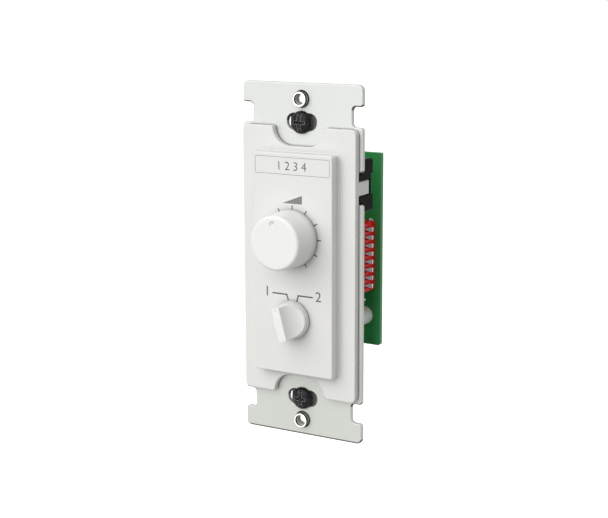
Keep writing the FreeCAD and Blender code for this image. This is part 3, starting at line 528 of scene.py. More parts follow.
def combined(bm, others, operation):
    """Joins other closed bmeshes to this one or takes them out of it."""
    made = []
    for source in [bm] + others:
        bmesh.ops.recalc_face_normals(source, faces=source.faces)
        made.append(put_in_scene("solid", mesh_of(source, "solid")))
    body = made[0]
    for tool in made[1:]:
        modifier = body.modifiers.new("solid", "BOOLEAN")
        modifier.operation = operation
        modifier.solver = "EXACT"
        modifier.object = tool
    evaluated = body.evaluated_get(bpy.context.evaluated_depsgraph_get())
    result = bmesh.new()
    result.from_mesh(evaluated.to_mesh())
    evaluated.to_mesh_clear()
    for thing in made:
        mesh = thing.data
        bpy.data.objects.remove(thing)
        bpy.data.meshes.remove(mesh)
    bmesh.ops.remove_doubles(result, verts=result.verts, dist=NEAR)
    return result


def without(bm, cutters):
    return combined(bm, cutters, "DIFFERENCE")


def together(bm, others):
    return combined(bm, others, "UNION")


# Procedural materials

def tree_node(tree, kind, **settings):
    """A new node of a material or world, with its settings made."""
    made = tree.nodes.new(kind)
    for key, value in settings.items():
        setattr(made, key, value)
    return made


class Look:
    """A node material, built up from a plain Principled shader and kept in LOOKS."""

    def __init__(self, name, color, roughness, metallic=0.0):
        material = bpy.data.materials.new(name)
        material.use_nodes = True
        self.tree = material.node_tree
        self.shader = self.tree.nodes["Principled BSDF"]
        self.shader.inputs["Base Color"].default_value = (*color, 1)
        self.shader.inputs["Roughness"].default_value = roughness
        self.shader.inputs["Metallic"].default_value = metallic
        self.coords = self.node("ShaderNodeTexCoord")
        self.color = color
        self.roughness = roughness
        LOOKS[name] = material

    def node(self, kind, **settings):
        return tree_node(self.tree, kind, **settings)

    def link(self, source, target):
        self.tree.links.new(source, target)

    def noise(self, grains_per_mm, detail=3.0, stretch=(1, 1, 1)):
        """Noise with the given number of grains to the millimetre."""
        mapping = self.node("ShaderNodeMapping")
        mapping.inputs["Scale"].default_value = [s / MM * grains_per_mm for s in stretch]
        self.link(self.coords.outputs["Object"], mapping.inputs["Vector"])
        texture = self.node("ShaderNodeTexNoise")
        texture.inputs["Scale"].default_value = 1.0
        texture.inputs["Detail"].default_value = detail
        self.link(mapping.outputs["Vector"], texture.inputs["Vector"])
        return texture.outputs["Fac"]

    def ramp(self, factor, low, high, start=NOISE_LOW, end=NOISE_HIGH):
        """One colour up to the start, another from the end on, and a blend between."""
        ramp = self.node("ShaderNodeValToRGB")
        for stop, place, color in zip(ramp.color_ramp.elements, (start, end), (low, high)):
            stop.position = place
            stop.color = (*color, 1)
        self.link(factor, ramp.inputs["Fac"])
        return ramp.outputs["Color"]

    def map_range(self, factor, from_min, from_max, to_min, to_max, **settings):
        mapper = self.node("ShaderNodeMapRange", **settings)
        for socket, value in (("From Min", from_min), ("From Max", from_max), ("To Min", to_min),
                              ("To Max", to_max)):
            mapper.inputs[socket].default_value = value
        self.link(factor, mapper.inputs["Value"])
        return mapper.outputs["Result"]

    def mottle(self, grains_per_mm, strength, stretch=(1, 1, 1)):
        """Varies the colour gently about its own value."""
        low = [c * (1 - strength) for c in self.color]
        high = [min(1, c * (1 + strength)) for c in self.color]
        self.link(self.ramp(self.noise(grains_per_mm, stretch=stretch), low, high),
                  self.shader.inputs["Base Color"])
        return self

    def uneven_gloss(self, grains_per_mm, strength, stretch=(1, 1, 1)):
        """Varies the roughness gently about its own value."""
        self.link(self.map_range(self.noise(grains_per_mm, stretch=stretch), NOISE_LOW,
                                 NOISE_HIGH, self.roughness - strength,
                                 self.roughness + strength),
                  self.shader.inputs["Roughness"])
        return self

    def grain(self, grains_per_mm, height_mm, edge_mm=0.0, stretch=(1, 1, 1)):
        """A fine relief, with the piece's edges softened where edge_mm is given."""
        bump = self.node("ShaderNodeBump")
        bump.inputs["Strength"].default_value = 1.0
        bump.inputs["Distance"].default_value = height_mm * MM
        self.link(self.noise(grains_per_mm, stretch=stretch), bump.inputs["Height"])
        if edge_mm:
            self.link(self.bevelled(edge_mm, samples=6), bump.inputs["Normal"])
        self.link(bump.outputs["Normal"], self.shader.inputs["Normal"])
        return self

    def bevelled(self, radius_mm, samples):
        """The surface's direction as if its edges were rounded."""
        bevel = self.node("ShaderNodeBevel", samples=samples)
        bevel.inputs["Radius"].default_value = radius_mm * MM
        return bevel.outputs["Normal"]

    def under(self, color, keep):
        """Mixes a colour in where the factor to keep the present one is low."""
        mix = self.node("ShaderNodeMix", data_type="RGBA")
        mix.inputs["A"].default_value = (*color, 1)
        self.link(self.shader.inputs["Base Color"].links[0].from_socket, mix.inputs["B"])
        self.link(keep, mix.inputs["Factor"])
        self.link(mix.outputs["Result"], self.shader.inputs["Base Color"])
        return self

    def axis_part(self, source, axis):
        """One axis of the place on the object or of the surface's direction."""
        split = self.node("ShaderNodeSeparateXYZ")
        self.link(self.coords.outputs[source], split.inputs["Vector"])
        return split.outputs[axis]

    def facing_y(self):
        """How far the surface faces along Y, either way."""
        facing = self.node("ShaderNodeMath", operation="ABSOLUTE")
        self.link(self.axis_part("Normal", "Y"), facing.inputs[0])
        return facing.outputs["Value"]

    def cut_edges(self, color, start, end):
        """Another colour where the surface turns away from Y, as on sheared sheet."""
        return self.under(color, self.ramp(self.facing_y(), BLACK, WHITE, start, end))

    def painted_bright_ends(self, color, start, end):
        """Painted reflection: a brighter colour on the flat ends that face along Y."""
        return self.under(color, self.ramp(self.facing_y(), WHITE, BLACK, start, end))

    def painted_underside_shade(self, color, start, end):
        """Painted shade: a darker colour where the edge of a sheet faces down and gets little
        light.
        """
        down = self.node("ShaderNodeMath", operation="MULTIPLY")
        down.inputs[1].default_value = -1
        self.link(self.axis_part("Normal", "Z"), down.inputs[0])
        return self.under(color, self.ramp(down.outputs["Value"], WHITE, BLACK, start, end))

    def painted_corner_shade(self, color, reach_mm, start, end):
        """Painted shade in the gaps and corners that little light gets into, found with ambient
        occlusion.
        """
        near = self.node("ShaderNodeAmbientOcclusion", samples=8)
        near.inputs["Distance"].default_value = reach_mm * MM
        return self.under(color, self.ramp(near.outputs["AO"], BLACK, WHITE, start, end))

    def fade(self, axis, color, start, end):
        """Painted light or shade: fades from another tint at one place along an axis to the
        present one.
        """
        return self.under(color, self.map_range(self.axis_part("Object", axis), start * MM,
                                                end * MM, 0, 1,
                                                interpolation_type="SMOOTHSTEP"))

    def painted_edge_highlight(self, color, radius_mm, start, end):
        """A painted highlight: a lighter colour along the edges, found with a bevelled normal."""
        match = self.node("ShaderNodeVectorMath", operation="DOT_PRODUCT")
        self.link(self.bevelled(radius_mm, samples=8), match.inputs[0])
        self.link(self.node("ShaderNodeNewGeometry").outputs["Normal"], match.inputs[1])
        return self.under(color, self.ramp(match.outputs["Value"], BLACK, WHITE, start, end))

    def low_sheen(self, level):
        self.shader.inputs["Specular IOR Level"].default_value = level
        return self

    def coat(self, weight, roughness):
        self.shader.inputs["Coat Weight"].default_value = weight
        self.shader.inputs["Coat Roughness"].default_value = roughness
        return self


def make_looks():
    """Every finish of the controller."""
    for name, color, roughness, metallic, mottle, gloss, grain, sheen in FINISHES:
        (Look(name, color, roughness, metallic).mottle(*mottle).uneven_gloss(*gloss)
         .grain(*grain).low_sheen(sheen))
    for name, (color, strength) in INKS.items():
        Look(name, color, 0.5).mottle(3.0, strength).uneven_gloss(4.0, 0.05).grain(8.0, 0.003)
    # The bezel's two darker tints are painted shade found with ambient occlusion: a broad one
    # beside the raised panel and a thin dark line in narrow gaps.
    (Look("bezel_plastic", (0.80, 0.795, 0.775), 0.46).mottle(0.05, 0.010)
     .painted_corner_shade((0.58, 0.577, 0.56), 3.0, 0.42, 0.93)
     .painted_corner_shade((0.10, 0.10, 0.09), 0.8, 0.22, 0.54)
     .uneven_gloss(2.0, 0.05).grain(5.0, 0.008, 0.06))
    Look("label_plastic", (0.80, 0.795, 0.775), 0.40).mottle(0.1, 0.008).grain(4.0, 0.003, 0.05)
    # The knob's darker colour near the panel is painted shade, found with ambient occlusion.
    (Look("knob_plastic", (0.885, 0.885, 0.87), 0.34).mottle(0.08, 0.006)
     .painted_corner_shade((0.30, 0.30, 0.29), 4.0, 0.45, 0.92)
     .uneven_gloss(0.8, 0.03).grain(6.0, 0.0012).coat(0.08, 0.2))
    # On the strap, painted shade: darker towards the bottom, a dark band along the bottom edge,
    # dark downward-facing edges and dark lines in the gaps beside the bezel.
    (Look("strap_metal", (0.66, 0.675, 0.65), 0.50, 0.25).mottle(0.05, 0.012)
     .uneven_gloss(1.2, 0.04).fade("Z", (0.60, 0.615, 0.575), -52.0, 20.0)
     .cut_edges((0.64, 0.67, 0.61), 0.3, 0.9)
     .painted_underside_shade((0.06, 0.065, 0.045), 0.03, 0.2)
     .fade("Z", (0.06, 0.065, 0.045), -52.70, -52.52)
     .painted_corner_shade((0.045, 0.05, 0.03), 1.2, 0.42, 0.66).grain(7.0, 0.0012))
    # On the collars, the bright front faces and the dark side wall near the front are a painted
    # reflection.
    (Look("collar_metal", (0.46, 0.49, 0.41), 0.22, 1.0).mottle(1.0, 0.02)
     .uneven_gloss(3.0, 0.05, (1, 6, 1)).fade("Y", (0.03, 0.033, 0.02), -2.35, -1.75)
     .painted_bright_ends((0.92, 0.92, 0.89), 0.78, 0.98).grain(8.0, 0.002, 0.0, (1, 6, 1)))
    # The thread's darkening deep in the bore is painted shade, found with ambient occlusion.
    (Look("thread_metal", (0.36, 0.37, 0.33), 0.45, 0.15).mottle(2.0, 0.15)
     .painted_corner_shade((0.02, 0.02, 0.015), 2.0, 0.1, 0.6)
     .uneven_gloss(3.0, 0.08).grain(6.0, 0.003))
    # The screws' lighter edges are a painted highlight.
    (Look("black_steel", (0.008, 0.008, 0.009), 0.24).mottle(2.0, 0.2)
     .painted_edge_highlight((0.50, 0.50, 0.50), 0.32, 0.75, 0.97)
     .uneven_gloss(3.0, 0.05).grain(6.0, 0.002).low_sheen(0.16))
    # On the boards, painted shade makes them darker towards the bottom and painted light makes
    # them brighter towards the right edge.
    (Look("board_mask", (0.045, 0.37, 0.105), 0.32).mottle(0.12, 0.05)
     .fade("Z", (0.024, 0.21, 0.06), -30.0, 28.0).fade("X", (0.065, 0.38, 0.12), 10.3, 7.2)
     .uneven_gloss(0.6, 0.03).grain(1.2, 0.002)
     .cut_edges((0.055, 0.33, 0.11), 0.4, 0.8).low_sheen(0.12))
    (Look("lever_white", (0.78, 0.99, 1.0), 0.20).mottle(2.0, 0.03)
     .uneven_gloss(3.0, 0.05).grain(5.0, 0.003, 0.06).coat(0.5, 0.15))


def dress_nodes(nodes):
    """Gives every node of the solids its look."""
    look_of = {node: look for look, names in DRESSED_NODES.items() for node in names}
    for name, node in nodes.items():
        kind = name.removeprefix("volume_").removeprefix("selector_").rstrip("_12345678")
        node.data.materials.clear()
        node.data.materials.append(LOOKS[look_of[kind]])


# Strap and bezel

def strap_sheet():
    """The punched strap with the slightly rolled edges of sheared sheet."""
    low, high = box_mm("mounting_strap")
    width, height = high.x - low.x, high.z - low.z
    front, past = low.y - PAST, high.y + PAST
    notches = [plate(2 * depth, tall, corner, front, past, side * width / 2, z)
               for side in (-1, 1)
               for (depth, tall, corner), z in ((EAR_NOTCH, -EAR_NOTCH_Z),
                                                (EAR_NOTCH, EAR_NOTCH_Z), (CLIP_NOTCH, ARM_Z))]
    holes = []
    for side in (-1, 1):
        holes += [rod(PEG_HOLE, front, past, side * PEG_X, PEG_Z, steps=40),
                  rod(COLLAR_RADIUS, front, past, 0, side * PLATE_SCREW_Z, steps=64),
                  plate(*SCREW_SLOT, SCREW_SLOT_CORNER, front, past, 0, side * SCREW_Z,
                        steps=16)]
    for control in ("volume_shaft", "selector_shaft"):
        holes.append(rod(STRAP_SHAFT_HOLE, front, past, 0, centre_mm(control).z))

    def at_tip(place):
        ear_gap = abs(abs(abs(place.z) - EAR_NOTCH_Z) - EAR_NOTCH[1] / 2)
        clip_gap = abs(abs(place.z - ARM_Z) - CLIP_NOTCH[1] / 2)
        return abs(abs(place.x) - width / 2) < NEAR and min(clip_gap, ear_gap) < NEAR

    def roll_front_edges(sheet):
        soften(sheet, sharp_edges(sheet, SQUARE, lambda place: place.y < low.y + NEAR), STRAP_ROLL,
               clamp=False)

    bm = without(plate(width, height, STRAP_CORNER, low.y, high.y), notches)
    soften(bm, corner_edges(bm, at_tip), NOTCH_TIP, steps=5)
    roll_front_edges(bm)
    bm = without(bm, holes)
    roll_front_edges(bm)
    add_piece("mounting_strap_punched", bm, "strap_metal", ["mounting_strap"])


def bezel_moulding():
    """The white flange, its raised panel with a filleted foot, and the two clip arms."""
    low, high = box_mm("front_bezel")
    label_low, label_high = box_mm("label_strip")
    width, height = high.x - low.x, high.z - low.z
    panel_height = height - 2 * PANEL_END_STEP
    middle_z = (low.z + high.z) / 2

    def flange_layer(front, back, inset):
        mouths = [plate(SCREW_MOUTH_WIDTH + 2 * inset, 2 * (SCREW_MOUTH_DEPTH + inset),
                        SCREW_MOUTH_CORNER + inset, front - PAST, back + PAST, 0, end_z, steps=20)
                  for end_z in (low.z, high.z)]
        return without(plate(width - 2 * inset, height - 2 * inset, FLANGE_CORNER, front, back,
                             0, middle_z), mouths)

    def at_mouth_tip(place):
        return (abs(abs(place.x) - SCREW_MOUTH_WIDTH / 2) < NEAR
                and abs(abs(place.z - middle_z) - height / 2) < NEAR)

    def at_panel_foot(place):
        return (abs(place.y - FLANGE_FRONT) < NEAR and abs(place.x) < PANEL_WIDTH / 2 + NEAR
                and abs(place.z - middle_z) < panel_height / 2 + NEAR)

    flange = flange_layer(FLANGE_FRONT, STRAP_FRONT - SHADOW_GAP, 0)
    soften(flange, corner_edges(flange, at_mouth_tip), MOUTH_TIP, steps=5)
    soften(flange, sharp_edges(flange, SQUARE, lambda place: abs(place.y - FLANGE_FRONT) < MERGE),
           FLANGE_EDGE, steps=4, clamp=False)
    flange = together(flange, [flange_layer(STRAP_FRONT - SHADOW_GAP - FLANGE_OVERLAP,
                                            STRAP_FRONT, SHADOW_GAP_INSET)])
    panel = plate(PANEL_WIDTH, panel_height, PANEL_CORNER, low.y, FLANGE_FRONT + PAST, 0,
                  middle_z, steps=6)
    soften(panel, edges_where(panel, lambda place: abs(place.y - low.y) < MERGE), PANEL_EDGE,
           steps=5)
    bm = together(flange, [panel])
    soften(bm, edges_where(bm, at_panel_foot), PANEL_FOOT, steps=4)
    cutters = [plate(label_high.x - label_low.x + 2 * LABEL_GAP,
                     label_high.z - label_low.z + 2 * LABEL_GAP, LABEL_CORNER, low.y - PAST,
                     low.y + LABEL_THICK, 0, centre_mm("label_strip").z, steps=5),
               plate(PANEL_WIDTH - 2 * PANEL_WALL, panel_height - 2 * PANEL_WALL, PANEL_CORNER,
                     low.y + PANEL_WALL, STRAP_FRONT + PAST, 0, middle_z, steps=5)]
    for control in ("volume_shaft", "selector_shaft"):
        cutters.append(rod(PANEL_SHAFT_HOLE, low.y - PAST, low.y + PANEL_WALL + PAST, 0,
                           centre_mm(control).z))
    for side in (-1, 1):
        cutters.append(plate(BACK_NOTCH_WIDTH, 2 * BACK_NOTCH_DEPTH, 0,
                             STRAP_FRONT - BACK_NOTCH_DEPTH, STRAP_FRONT + PAST,
                             side * BACK_NOTCH_X, high.z))
    bm = together(without(bm, cutters), [clip_arm(side, width / 2) for side in (-1, 1)]
                  + [spun(PEG_PROFILE, side * PEG_X, PEG_Z, steps=40) for side in (-1, 1)])
    add_piece("bezel_moulding", bm, "bezel_plastic", ["front_bezel"])


def clip_arm(side, outer):
    """One of the two arms that grip the black carrier, with its barb and bevelled edges."""
    inner = outer - ARM_THICK
    barb_y = ARM_REACH - ARM_BARB_LENGTH
    root_y = STRAP_FRONT - SHADOW_GAP
    profile = [(outer, root_y), (outer, ARM_REACH), (inner, ARM_REACH),
               (inner - ARM_BARB, barb_y + ARM_BARB / 2), (inner - ARM_BARB, barb_y),
               (inner, barb_y), (inner, root_y)]
    low_z = ARM_Z - ARM_HEIGHT / 2
    bm = extruded([(side * x, y, low_z) for x, y in profile], (0, 0, ARM_HEIGHT))
    rim = [edge for edge in edges_where(bm, lambda place: abs(place.x - side * outer) < MERGE)
           if max(vert.co.y for vert in edge.verts) > root_y + NEAR]
    soften(bm, rim, ARM_EDGE, steps=1)
    return bm


# Knobs

def dimple(mark, face_y, z):
    """A ball that leaves an index mark's shallow dish in a face."""
    reach, size, depth = mark
    radius = (size ** 2 + depth ** 2) / (2 * depth)
    bm = bmesh.new()
    bmesh.ops.create_uvsphere(bm, u_segments=64, v_segments=64, radius=radius)
    bmesh.ops.rotate(bm, matrix=Matrix.Rotation(math.radians(90), 3, "X"), verts=bm.verts)
    bmesh.ops.translate(bm, vec=(0, face_y + depth - radius, z + reach), verts=bm.verts)
    return bm


def volume_knob():
    """A tapered cap with a rounded face edge, hollow behind round a ribbed hub."""
    low, high = box_mm("volume_knob")
    z, radius = (low.z + high.z) / 2, (high.x - low.x) / 2
    bm = spun([(0, low.y), (VOLUME_FACE_RADIUS, low.y), (radius, high.y), (0, high.y)], 0, z,
              KNOB_STEPS)
    soften_rings(bm, [(VOLUME_FACE_RADIUS, low.y, VOLUME_FACE_EDGE, 9),
                      (radius, high.y, VOLUME_SKIRT_EDGE, 3)], 0, z)
    inner_y = low.y + VOLUME_FACE_WALL
    outer = VOLUME_FACE_RADIUS - VOLUME_WALL
    well = spun([(VOLUME_HUB_RADIUS, inner_y), (outer, inner_y), (outer, high.y + PAST),
                 (VOLUME_HUB_RADIUS, high.y + PAST)], 0, z, KNOB_STEPS, closed=True)
    ribs = []
    for k in range(VOLUME_RIB_COUNT // 2):
        rib = plate(2 * radius, VOLUME_RIB_THICK, 0, inner_y - PAST, high.y - VOLUME_RIB_SETBACK,
                    0, z)
        rib.transform(turn_about(0, z, k * 360 / VOLUME_RIB_COUNT))
        ribs.append(rib)
    bore = rod(VOLUME_BORE, box_mm("volume_shaft")[0].y, high.y + PAST, 0, z)
    bm = without(bm, [without(well, ribs), bore, dimple(VOLUME_MARK, low.y, z)])
    bm.transform(turn_about(0, z, VOLUME_REST_TURN))
    add_piece("volume_knob_cap", bm, "knob_plastic", ["volume_knob"],
              "volume_control", KNOB_SMOOTH_ANGLE)


def scoop(face_y, rim_y, z, side):
    """The round bar that leaves the trough beside the grip of the selector knob."""
    start = Vector((SELECTOR_BAR_WIDTH / 2, face_y))
    end = Vector((SELECTOR_RIM_RADIUS + SELECTOR_EDGE, rim_y))
    chord = end - start
    inward = Vector((-chord.y, chord.x)).normalized()
    radius = (chord.length ** 2 / 4 + SELECTOR_SCOOP_SAG ** 2) / (2 * SELECTOR_SCOOP_SAG)
    centre = (start + end) / 2 + inward * (SELECTOR_SCOOP_SAG - radius)
    bm = bmesh.new()
    bmesh.ops.create_cone(bm, cap_ends=True, segments=SELECTOR_SCOOP_STEPS, radius1=radius,
                          radius2=radius, depth=4 * SELECTOR_RIM_RADIUS)
    bmesh.ops.translate(bm, vec=(side * centre.x, centre.y, z), verts=bm.verts)
    return bm


def selector_knob():
    """A round base with a straight grip, scooped on both sides, and a hub behind."""
    low, high = box_mm("selector_knob")
    z, radius = (low.z + high.z) / 2, (high.x - low.x) / 2
    base_y = high.y - SELECTOR_HUB_DEPTH
    rear_y = base_y - SELECTOR_BACK_MARGIN
    rim_y = base_y - SELECTOR_RIM_RISE
    bm = spun([(0, low.y), (SELECTOR_FACE_RADIUS, low.y), (SELECTOR_RIM_RADIUS, rim_y),
               (radius, base_y), (SELECTOR_HUB_RADIUS, base_y), (SELECTOR_HUB_RADIUS, high.y),
               (0, high.y)], 0, z, KNOB_STEPS)
    bm = without(bm, [scoop(low.y, rim_y, z, side) for side in (-1, 1)])
    soften(bm, sharp_edges(bm, SELECTOR_EDGE_TURN, lambda place: place.y < rear_y), SELECTOR_EDGE)
    bm = without(bm, [dimple(SELECTOR_MARK, low.y, z)])
    bm.transform(turn_about(0, z, SELECTOR_REST_TURN))
    add_piece("selector_knob_grip", bm, "knob_plastic", ["selector_knob"],
              "selector_control", KNOB_SMOOTH_ANGLE)


# Printing on the panel

def scale_marks(panel_y, volume_z):
    """The ticks round the volume knob, the wedge above it and the selector's leader lines."""
    y0, y1 = panel_y - INK_DEPTH, panel_y + INK_DEPTH
    ticks, leaders = bmesh.new(), bmesh.new()
    for turn in range(-TICK_LIMIT, TICK_LIMIT + 1, TICK_STEP):
        tick = plate(TICK_WIDTH, TICK_LENGTH, 0, y0, y1, 0, volume_z + TICK_RADIUS)
        tick.transform(turn_about(0, volume_z, turn))
        join_in(ticks, tick)
    add_piece("volume_scale", ticks, "panel_ink")
    wedge = extruded([(x, y0, z) for x, z in WEDGE], (0, y1 - y0, 0))
    add_piece("volume_wedge", wedge, "wedge_ink")
    for side in (-1, 1):
        path = [(side * x, z) for x, z in LEADER]
        for start, end in zip(path, path[1:]):
            join_in(leaders, bar(start, end, INK_LINE, y0, y1))
    add_piece("selector_leaders", leaders, "grey_ink")


def printed_number(name, text, height, place, look, thin=0.0):
    """Plain numbers printed on a face that looks towards the viewer."""
    curve = bpy.data.curves.new(name, "FONT")
    curve.body = text
    curve.size = height
    curve.extrude = INK_DEPTH
    curve.offset = -thin
    curve.resolution_u = 6
    text_object = put_in_scene(name, curve)
    evaluated = text_object.evaluated_get(bpy.context.evaluated_depsgraph_get())
    bm = bmesh.new()
    bm.from_mesh(evaluated.to_mesh())
    evaluated.to_mesh_clear()
    bpy.data.objects.remove(text_object)
    bpy.data.curves.remove(curve)
    across = [vert.co.x for vert in bm.verts]
    upright = [vert.co.y for vert in bm.verts]
    bmesh.ops.translate(bm, vec=(-(min(across) + max(across)) / 2,
                                 -(min(upright) + max(upright)) / 2, 0), verts=bm.verts)
    grow = height / (max(upright) - min(upright))
    bmesh.ops.scale(bm, vec=(grow, grow, 1), verts=bm.verts)
    bm.transform(Matrix.Translation(place) @ Matrix.Rotation(math.radians(90), 4, "X"))
    add_piece(name, bm, look)


def panel_numbers(panel_y):
    """The two source numbers and the number on the label."""
    for side, text in ((-1, "1"), (1, "2")):
        printed_number(f"source_number_{text}", text, NUMBER_HEIGHT,
                       (side * NUMBER_X, panel_y, NUMBER_Z), "grey_ink")
    low, high = box_mm("label_strip")
    printed_number("label_number", LABEL_TEXT, LABEL_NUMBER_HEIGHT,
                   (LABEL_NUMBER_X, low.y, (low.z + high.z) / 2), "label_ink",
                   LABEL_NUMBER_THIN)


# Screws and collars

def thread_ridge(z, foot, crest, pitch, y0, y1, steps=24):
    """A thread's ridge: a trapezoid carried along a helix round an axis along Y."""
    bm = bmesh.new()
    verts = [bm.verts.new((crest if at_crest else foot, y0 + share * pitch, z))
             for at_crest, share in RIDGE]
    loop = [bm.edges.new(pair) for pair in zip(verts, verts[1:] + verts[:1])]
    count = int(((y1 - y0) / pitch - RIDGE_RUN_OUT) * steps)
    last = bmesh.ops.spin(bm, geom=verts + loop, cent=(0, 0, z), axis=(0, 1, 0),
                          dvec=(0, pitch / steps, 0), angle=2 * math.pi * count / steps,
                          steps=count)["geom_last"]
    for end in (loop, [item for item in last if isinstance(item, bmesh.types.BMEdge)]):
        bmesh.ops.contextual_create(bm, geom=end)
    bmesh.ops.recalc_face_normals(bm, faces=bm.faces)
    return bm


def screw_head(z, front, seat):
    """The domed head with its slot and cross."""
    dome = seat - SCREW_RIM - front
    turns = [math.radians(90 * k / SCREW_DOME_STEPS) for k in range(SCREW_DOME_STEPS + 1)]
    profile = [(SCREW_HEAD_RADIUS * math.sin(turn), front + dome * (1 - math.cos(turn)))
               for turn in turns]
    head = spun(profile + [(SCREW_HEAD_RADIUS, seat), (0, seat)], 0, z, steps=96)
    head = without(head, [plate(wide, tall, 0, front - PAST, front + depth, 0, z)
                          for wide, tall, depth in (
                              (SLOT_WIDTH, 4 * SCREW_HEAD_RADIUS, SLOT_DEPTH),
                              (CROSS_LENGTH, CROSS_WIDTH, CROSS_DEPTH),
                              (CROSS_WIDTH, CROSS_LENGTH, CROSS_DEPTH))])
    soften(head, sharp_edges(head, SCREW_HEAD_TURN, lambda place: place.y < seat - SCREW_RIM),
           SCREW_HEAD_EDGE, steps=2)
    return head


def box_screws():
    """Domed heads with a slot and a cross, on a neck and a threaded shank."""
    low, high = box_mm("box_mounting_screws")
    seat = box_mm("mounting_strap")[0].y
    neck_y = seat - SCREW_NECK_SINK
    reach = high.z - SCREW_HEAD_RADIUS
    root = SCREW_RADIUS - SCREW_THREAD_DEPTH
    taper, point = SCREW_POINT
    bm = bmesh.new()
    for z in (-reach, reach):
        join_in(bm, screw_head(z, low.y, seat))
        join_in(bm, spun([(0, neck_y), (SCREW_NECK_RADIUS, neck_y),
                          (SCREW_NECK_RADIUS, SCREW_THREAD_START),
                          (root, SCREW_THREAD_START + SCREW_SHOULDER), (root, high.y - point),
                          (root - taper, high.y), (0, high.y)], 0, z, steps=48))
        join_in(bm, thread_ridge(z, root - RIDGE_SINK, SCREW_RADIUS, SCREW_PITCH,
                                 SCREW_THREAD_START, high.y - SCREW_THREAD_STOP))
    add_piece("box_screws_threaded", bm, "black_steel", ["box_mounting_screws"])


def collars():
    """Bright collars with a rounded lip, a thread inside and a rim behind the strap."""
    low, high = box_mm("cover_screw_collars")
    reach = high.z - COLLAR_RIM_RADIUS
    wall = COLLAR_BORE + COLLAR_COUNTERSINK
    thread_low, thread_high = COLLAR_THREAD_INSET
    bm, threads = bmesh.new(), bmesh.new()
    for z in (-reach, reach):
        ring = spun([(wall, low.y), (COLLAR_RADIUS, low.y), (COLLAR_RADIUS, 0),
                     (COLLAR_RIM_RADIUS, 0), (COLLAR_RIM_RADIUS, high.y), (wall, high.y)],
                    0, z, steps=96, closed=True)
        soften_rings(ring, [(COLLAR_RADIUS, low.y, COLLAR_LIP, 5),
                            (wall, low.y, COLLAR_BORE_EDGE, 3),
                            (COLLAR_RIM_RADIUS, high.y, COLLAR_RIM_EDGE, 3)], 0, z)
        join_in(bm, ring)
        join_in(threads, thread_ridge(z, wall + RIDGE_SINK, COLLAR_BORE, COLLAR_PITCH,
                                      low.y + thread_low, high.y + thread_high, steps=32))
    add_piece("cover_screw_collars_turned", bm, "collar_metal",
              ["cover_screw_collars"])
    add_piece("cover_screw_threads", threads, "thread_metal")


# DIP switch levers, capacitor, terminal and board screws

def dip_levers():
    """Eight levers that grow towards their tips, each on its own axle."""
    middle_x = LEVER_PIVOT.x - LEVER_AXLE_RADIUS + LEVER_LENGTH / 2
    tilt = (Matrix.Translation(LEVER_PIVOT) @ Matrix.Rotation(math.radians(LEVER_TILT), 4, "Z")
            @ Matrix.Translation(-LEVER_PIVOT))
    for k in range(1, LEVER_COUNT + 1):
        node = f"dip_lever_{k}"
        low, high = box_mm(node)
        z = (low.z + high.z) / 2
        arm, axle = bmesh.new(), bmesh.new()
        bmesh.ops.create_cube(arm, size=1.0)
        for side, size in ((-1, LEVER_ROOT), (1, LEVER_TIP)):
            bmesh.ops.scale(arm, vec=(1, *size),
                            verts=[vert for vert in arm.verts if vert.co.x * side > 0])
        bmesh.ops.scale(arm, vec=(LEVER_LENGTH, 1, 1), verts=arm.verts)
        bmesh.ops.translate(arm, vec=(middle_x, LEVER_PIVOT.y, z), verts=arm.verts)
        soften(arm, sharp_edges(arm, SQUARE), LEVER_EDGE, steps=2)
        bmesh.ops.create_cone(axle, cap_ends=True, segments=16, radius1=LEVER_AXLE_RADIUS,
                              radius2=LEVER_AXLE_RADIUS, depth=high.z - low.z)
        bmesh.ops.translate(axle, vec=(LEVER_PIVOT.x, LEVER_PIVOT.y, z), verts=axle.verts)
        arm = together(arm, [axle])
        arm.transform(tilt)
        add_piece(f"{node}_moulded", arm, "lever_white", [node], f"dip_{k}")


def capacitor_can():
    """A sleeved can with a well rounded end and a bead near the board."""
    low, high = box_mm("filter_capacitor")
    x, z, radius = (low.x + high.x) / 2, (low.z + high.z) / 2, (high.x - low.x) / 2
    bead_y = high.y - CAN_BEAD_RISE
    waist = radius - CAN_BEAD_DEPTH
    waist_y = bead_y - CAN_BEAD_HEIGHT / 2
    bm = spun([(0, low.y), (radius, low.y), (radius, bead_y - CAN_BEAD_HEIGHT),
               (waist, waist_y), (radius, bead_y), (radius, high.y), (0, high.y)], x, z,
              steps=72)
    soften_rings(bm, [(radius, low.y, CAN_EDGE, 8), (waist, waist_y, CAN_BEAD_EDGE, 3)], x, z)
    add_piece("capacitor_can", bm, "can_sleeve", ["filter_capacitor"])


def terminal_screws():
    """Slotted heads down the shafts of the terminal block."""
    low, high = box_mm("terminal_screws")
    x, radius = (low.x + high.x) / 2, (high.x - low.x) / 2
    head_y = high.y - TERMINAL_HEAD_HEIGHT
    bm = bmesh.new()
    for z, turn in zip(row(TERMINAL_WAYS, TERMINAL_PITCH), TERMINAL_TURNS):
        screw = spun([(0, low.y), (TERMINAL_SHANK, low.y), (TERMINAL_SHANK, head_y),
                      (radius, head_y), (radius, high.y), (0, high.y)], x, z, steps=40)
        soften_rings(screw, [(radius, high.y, TERMINAL_HEAD_EDGE, 3)], x, z)
        slot = plate(2 * radius + PAST, TERMINAL_SLOT, 0, high.y - TERMINAL_SLOT, high.y + PAST,
                     x, z)
        slot.transform(turn_about(x, z, turn))
        join_in(bm, without(screw, [slot]))
    add_piece("terminal_screws_slotted", bm, "plated_steel",
              ["terminal_screws"])


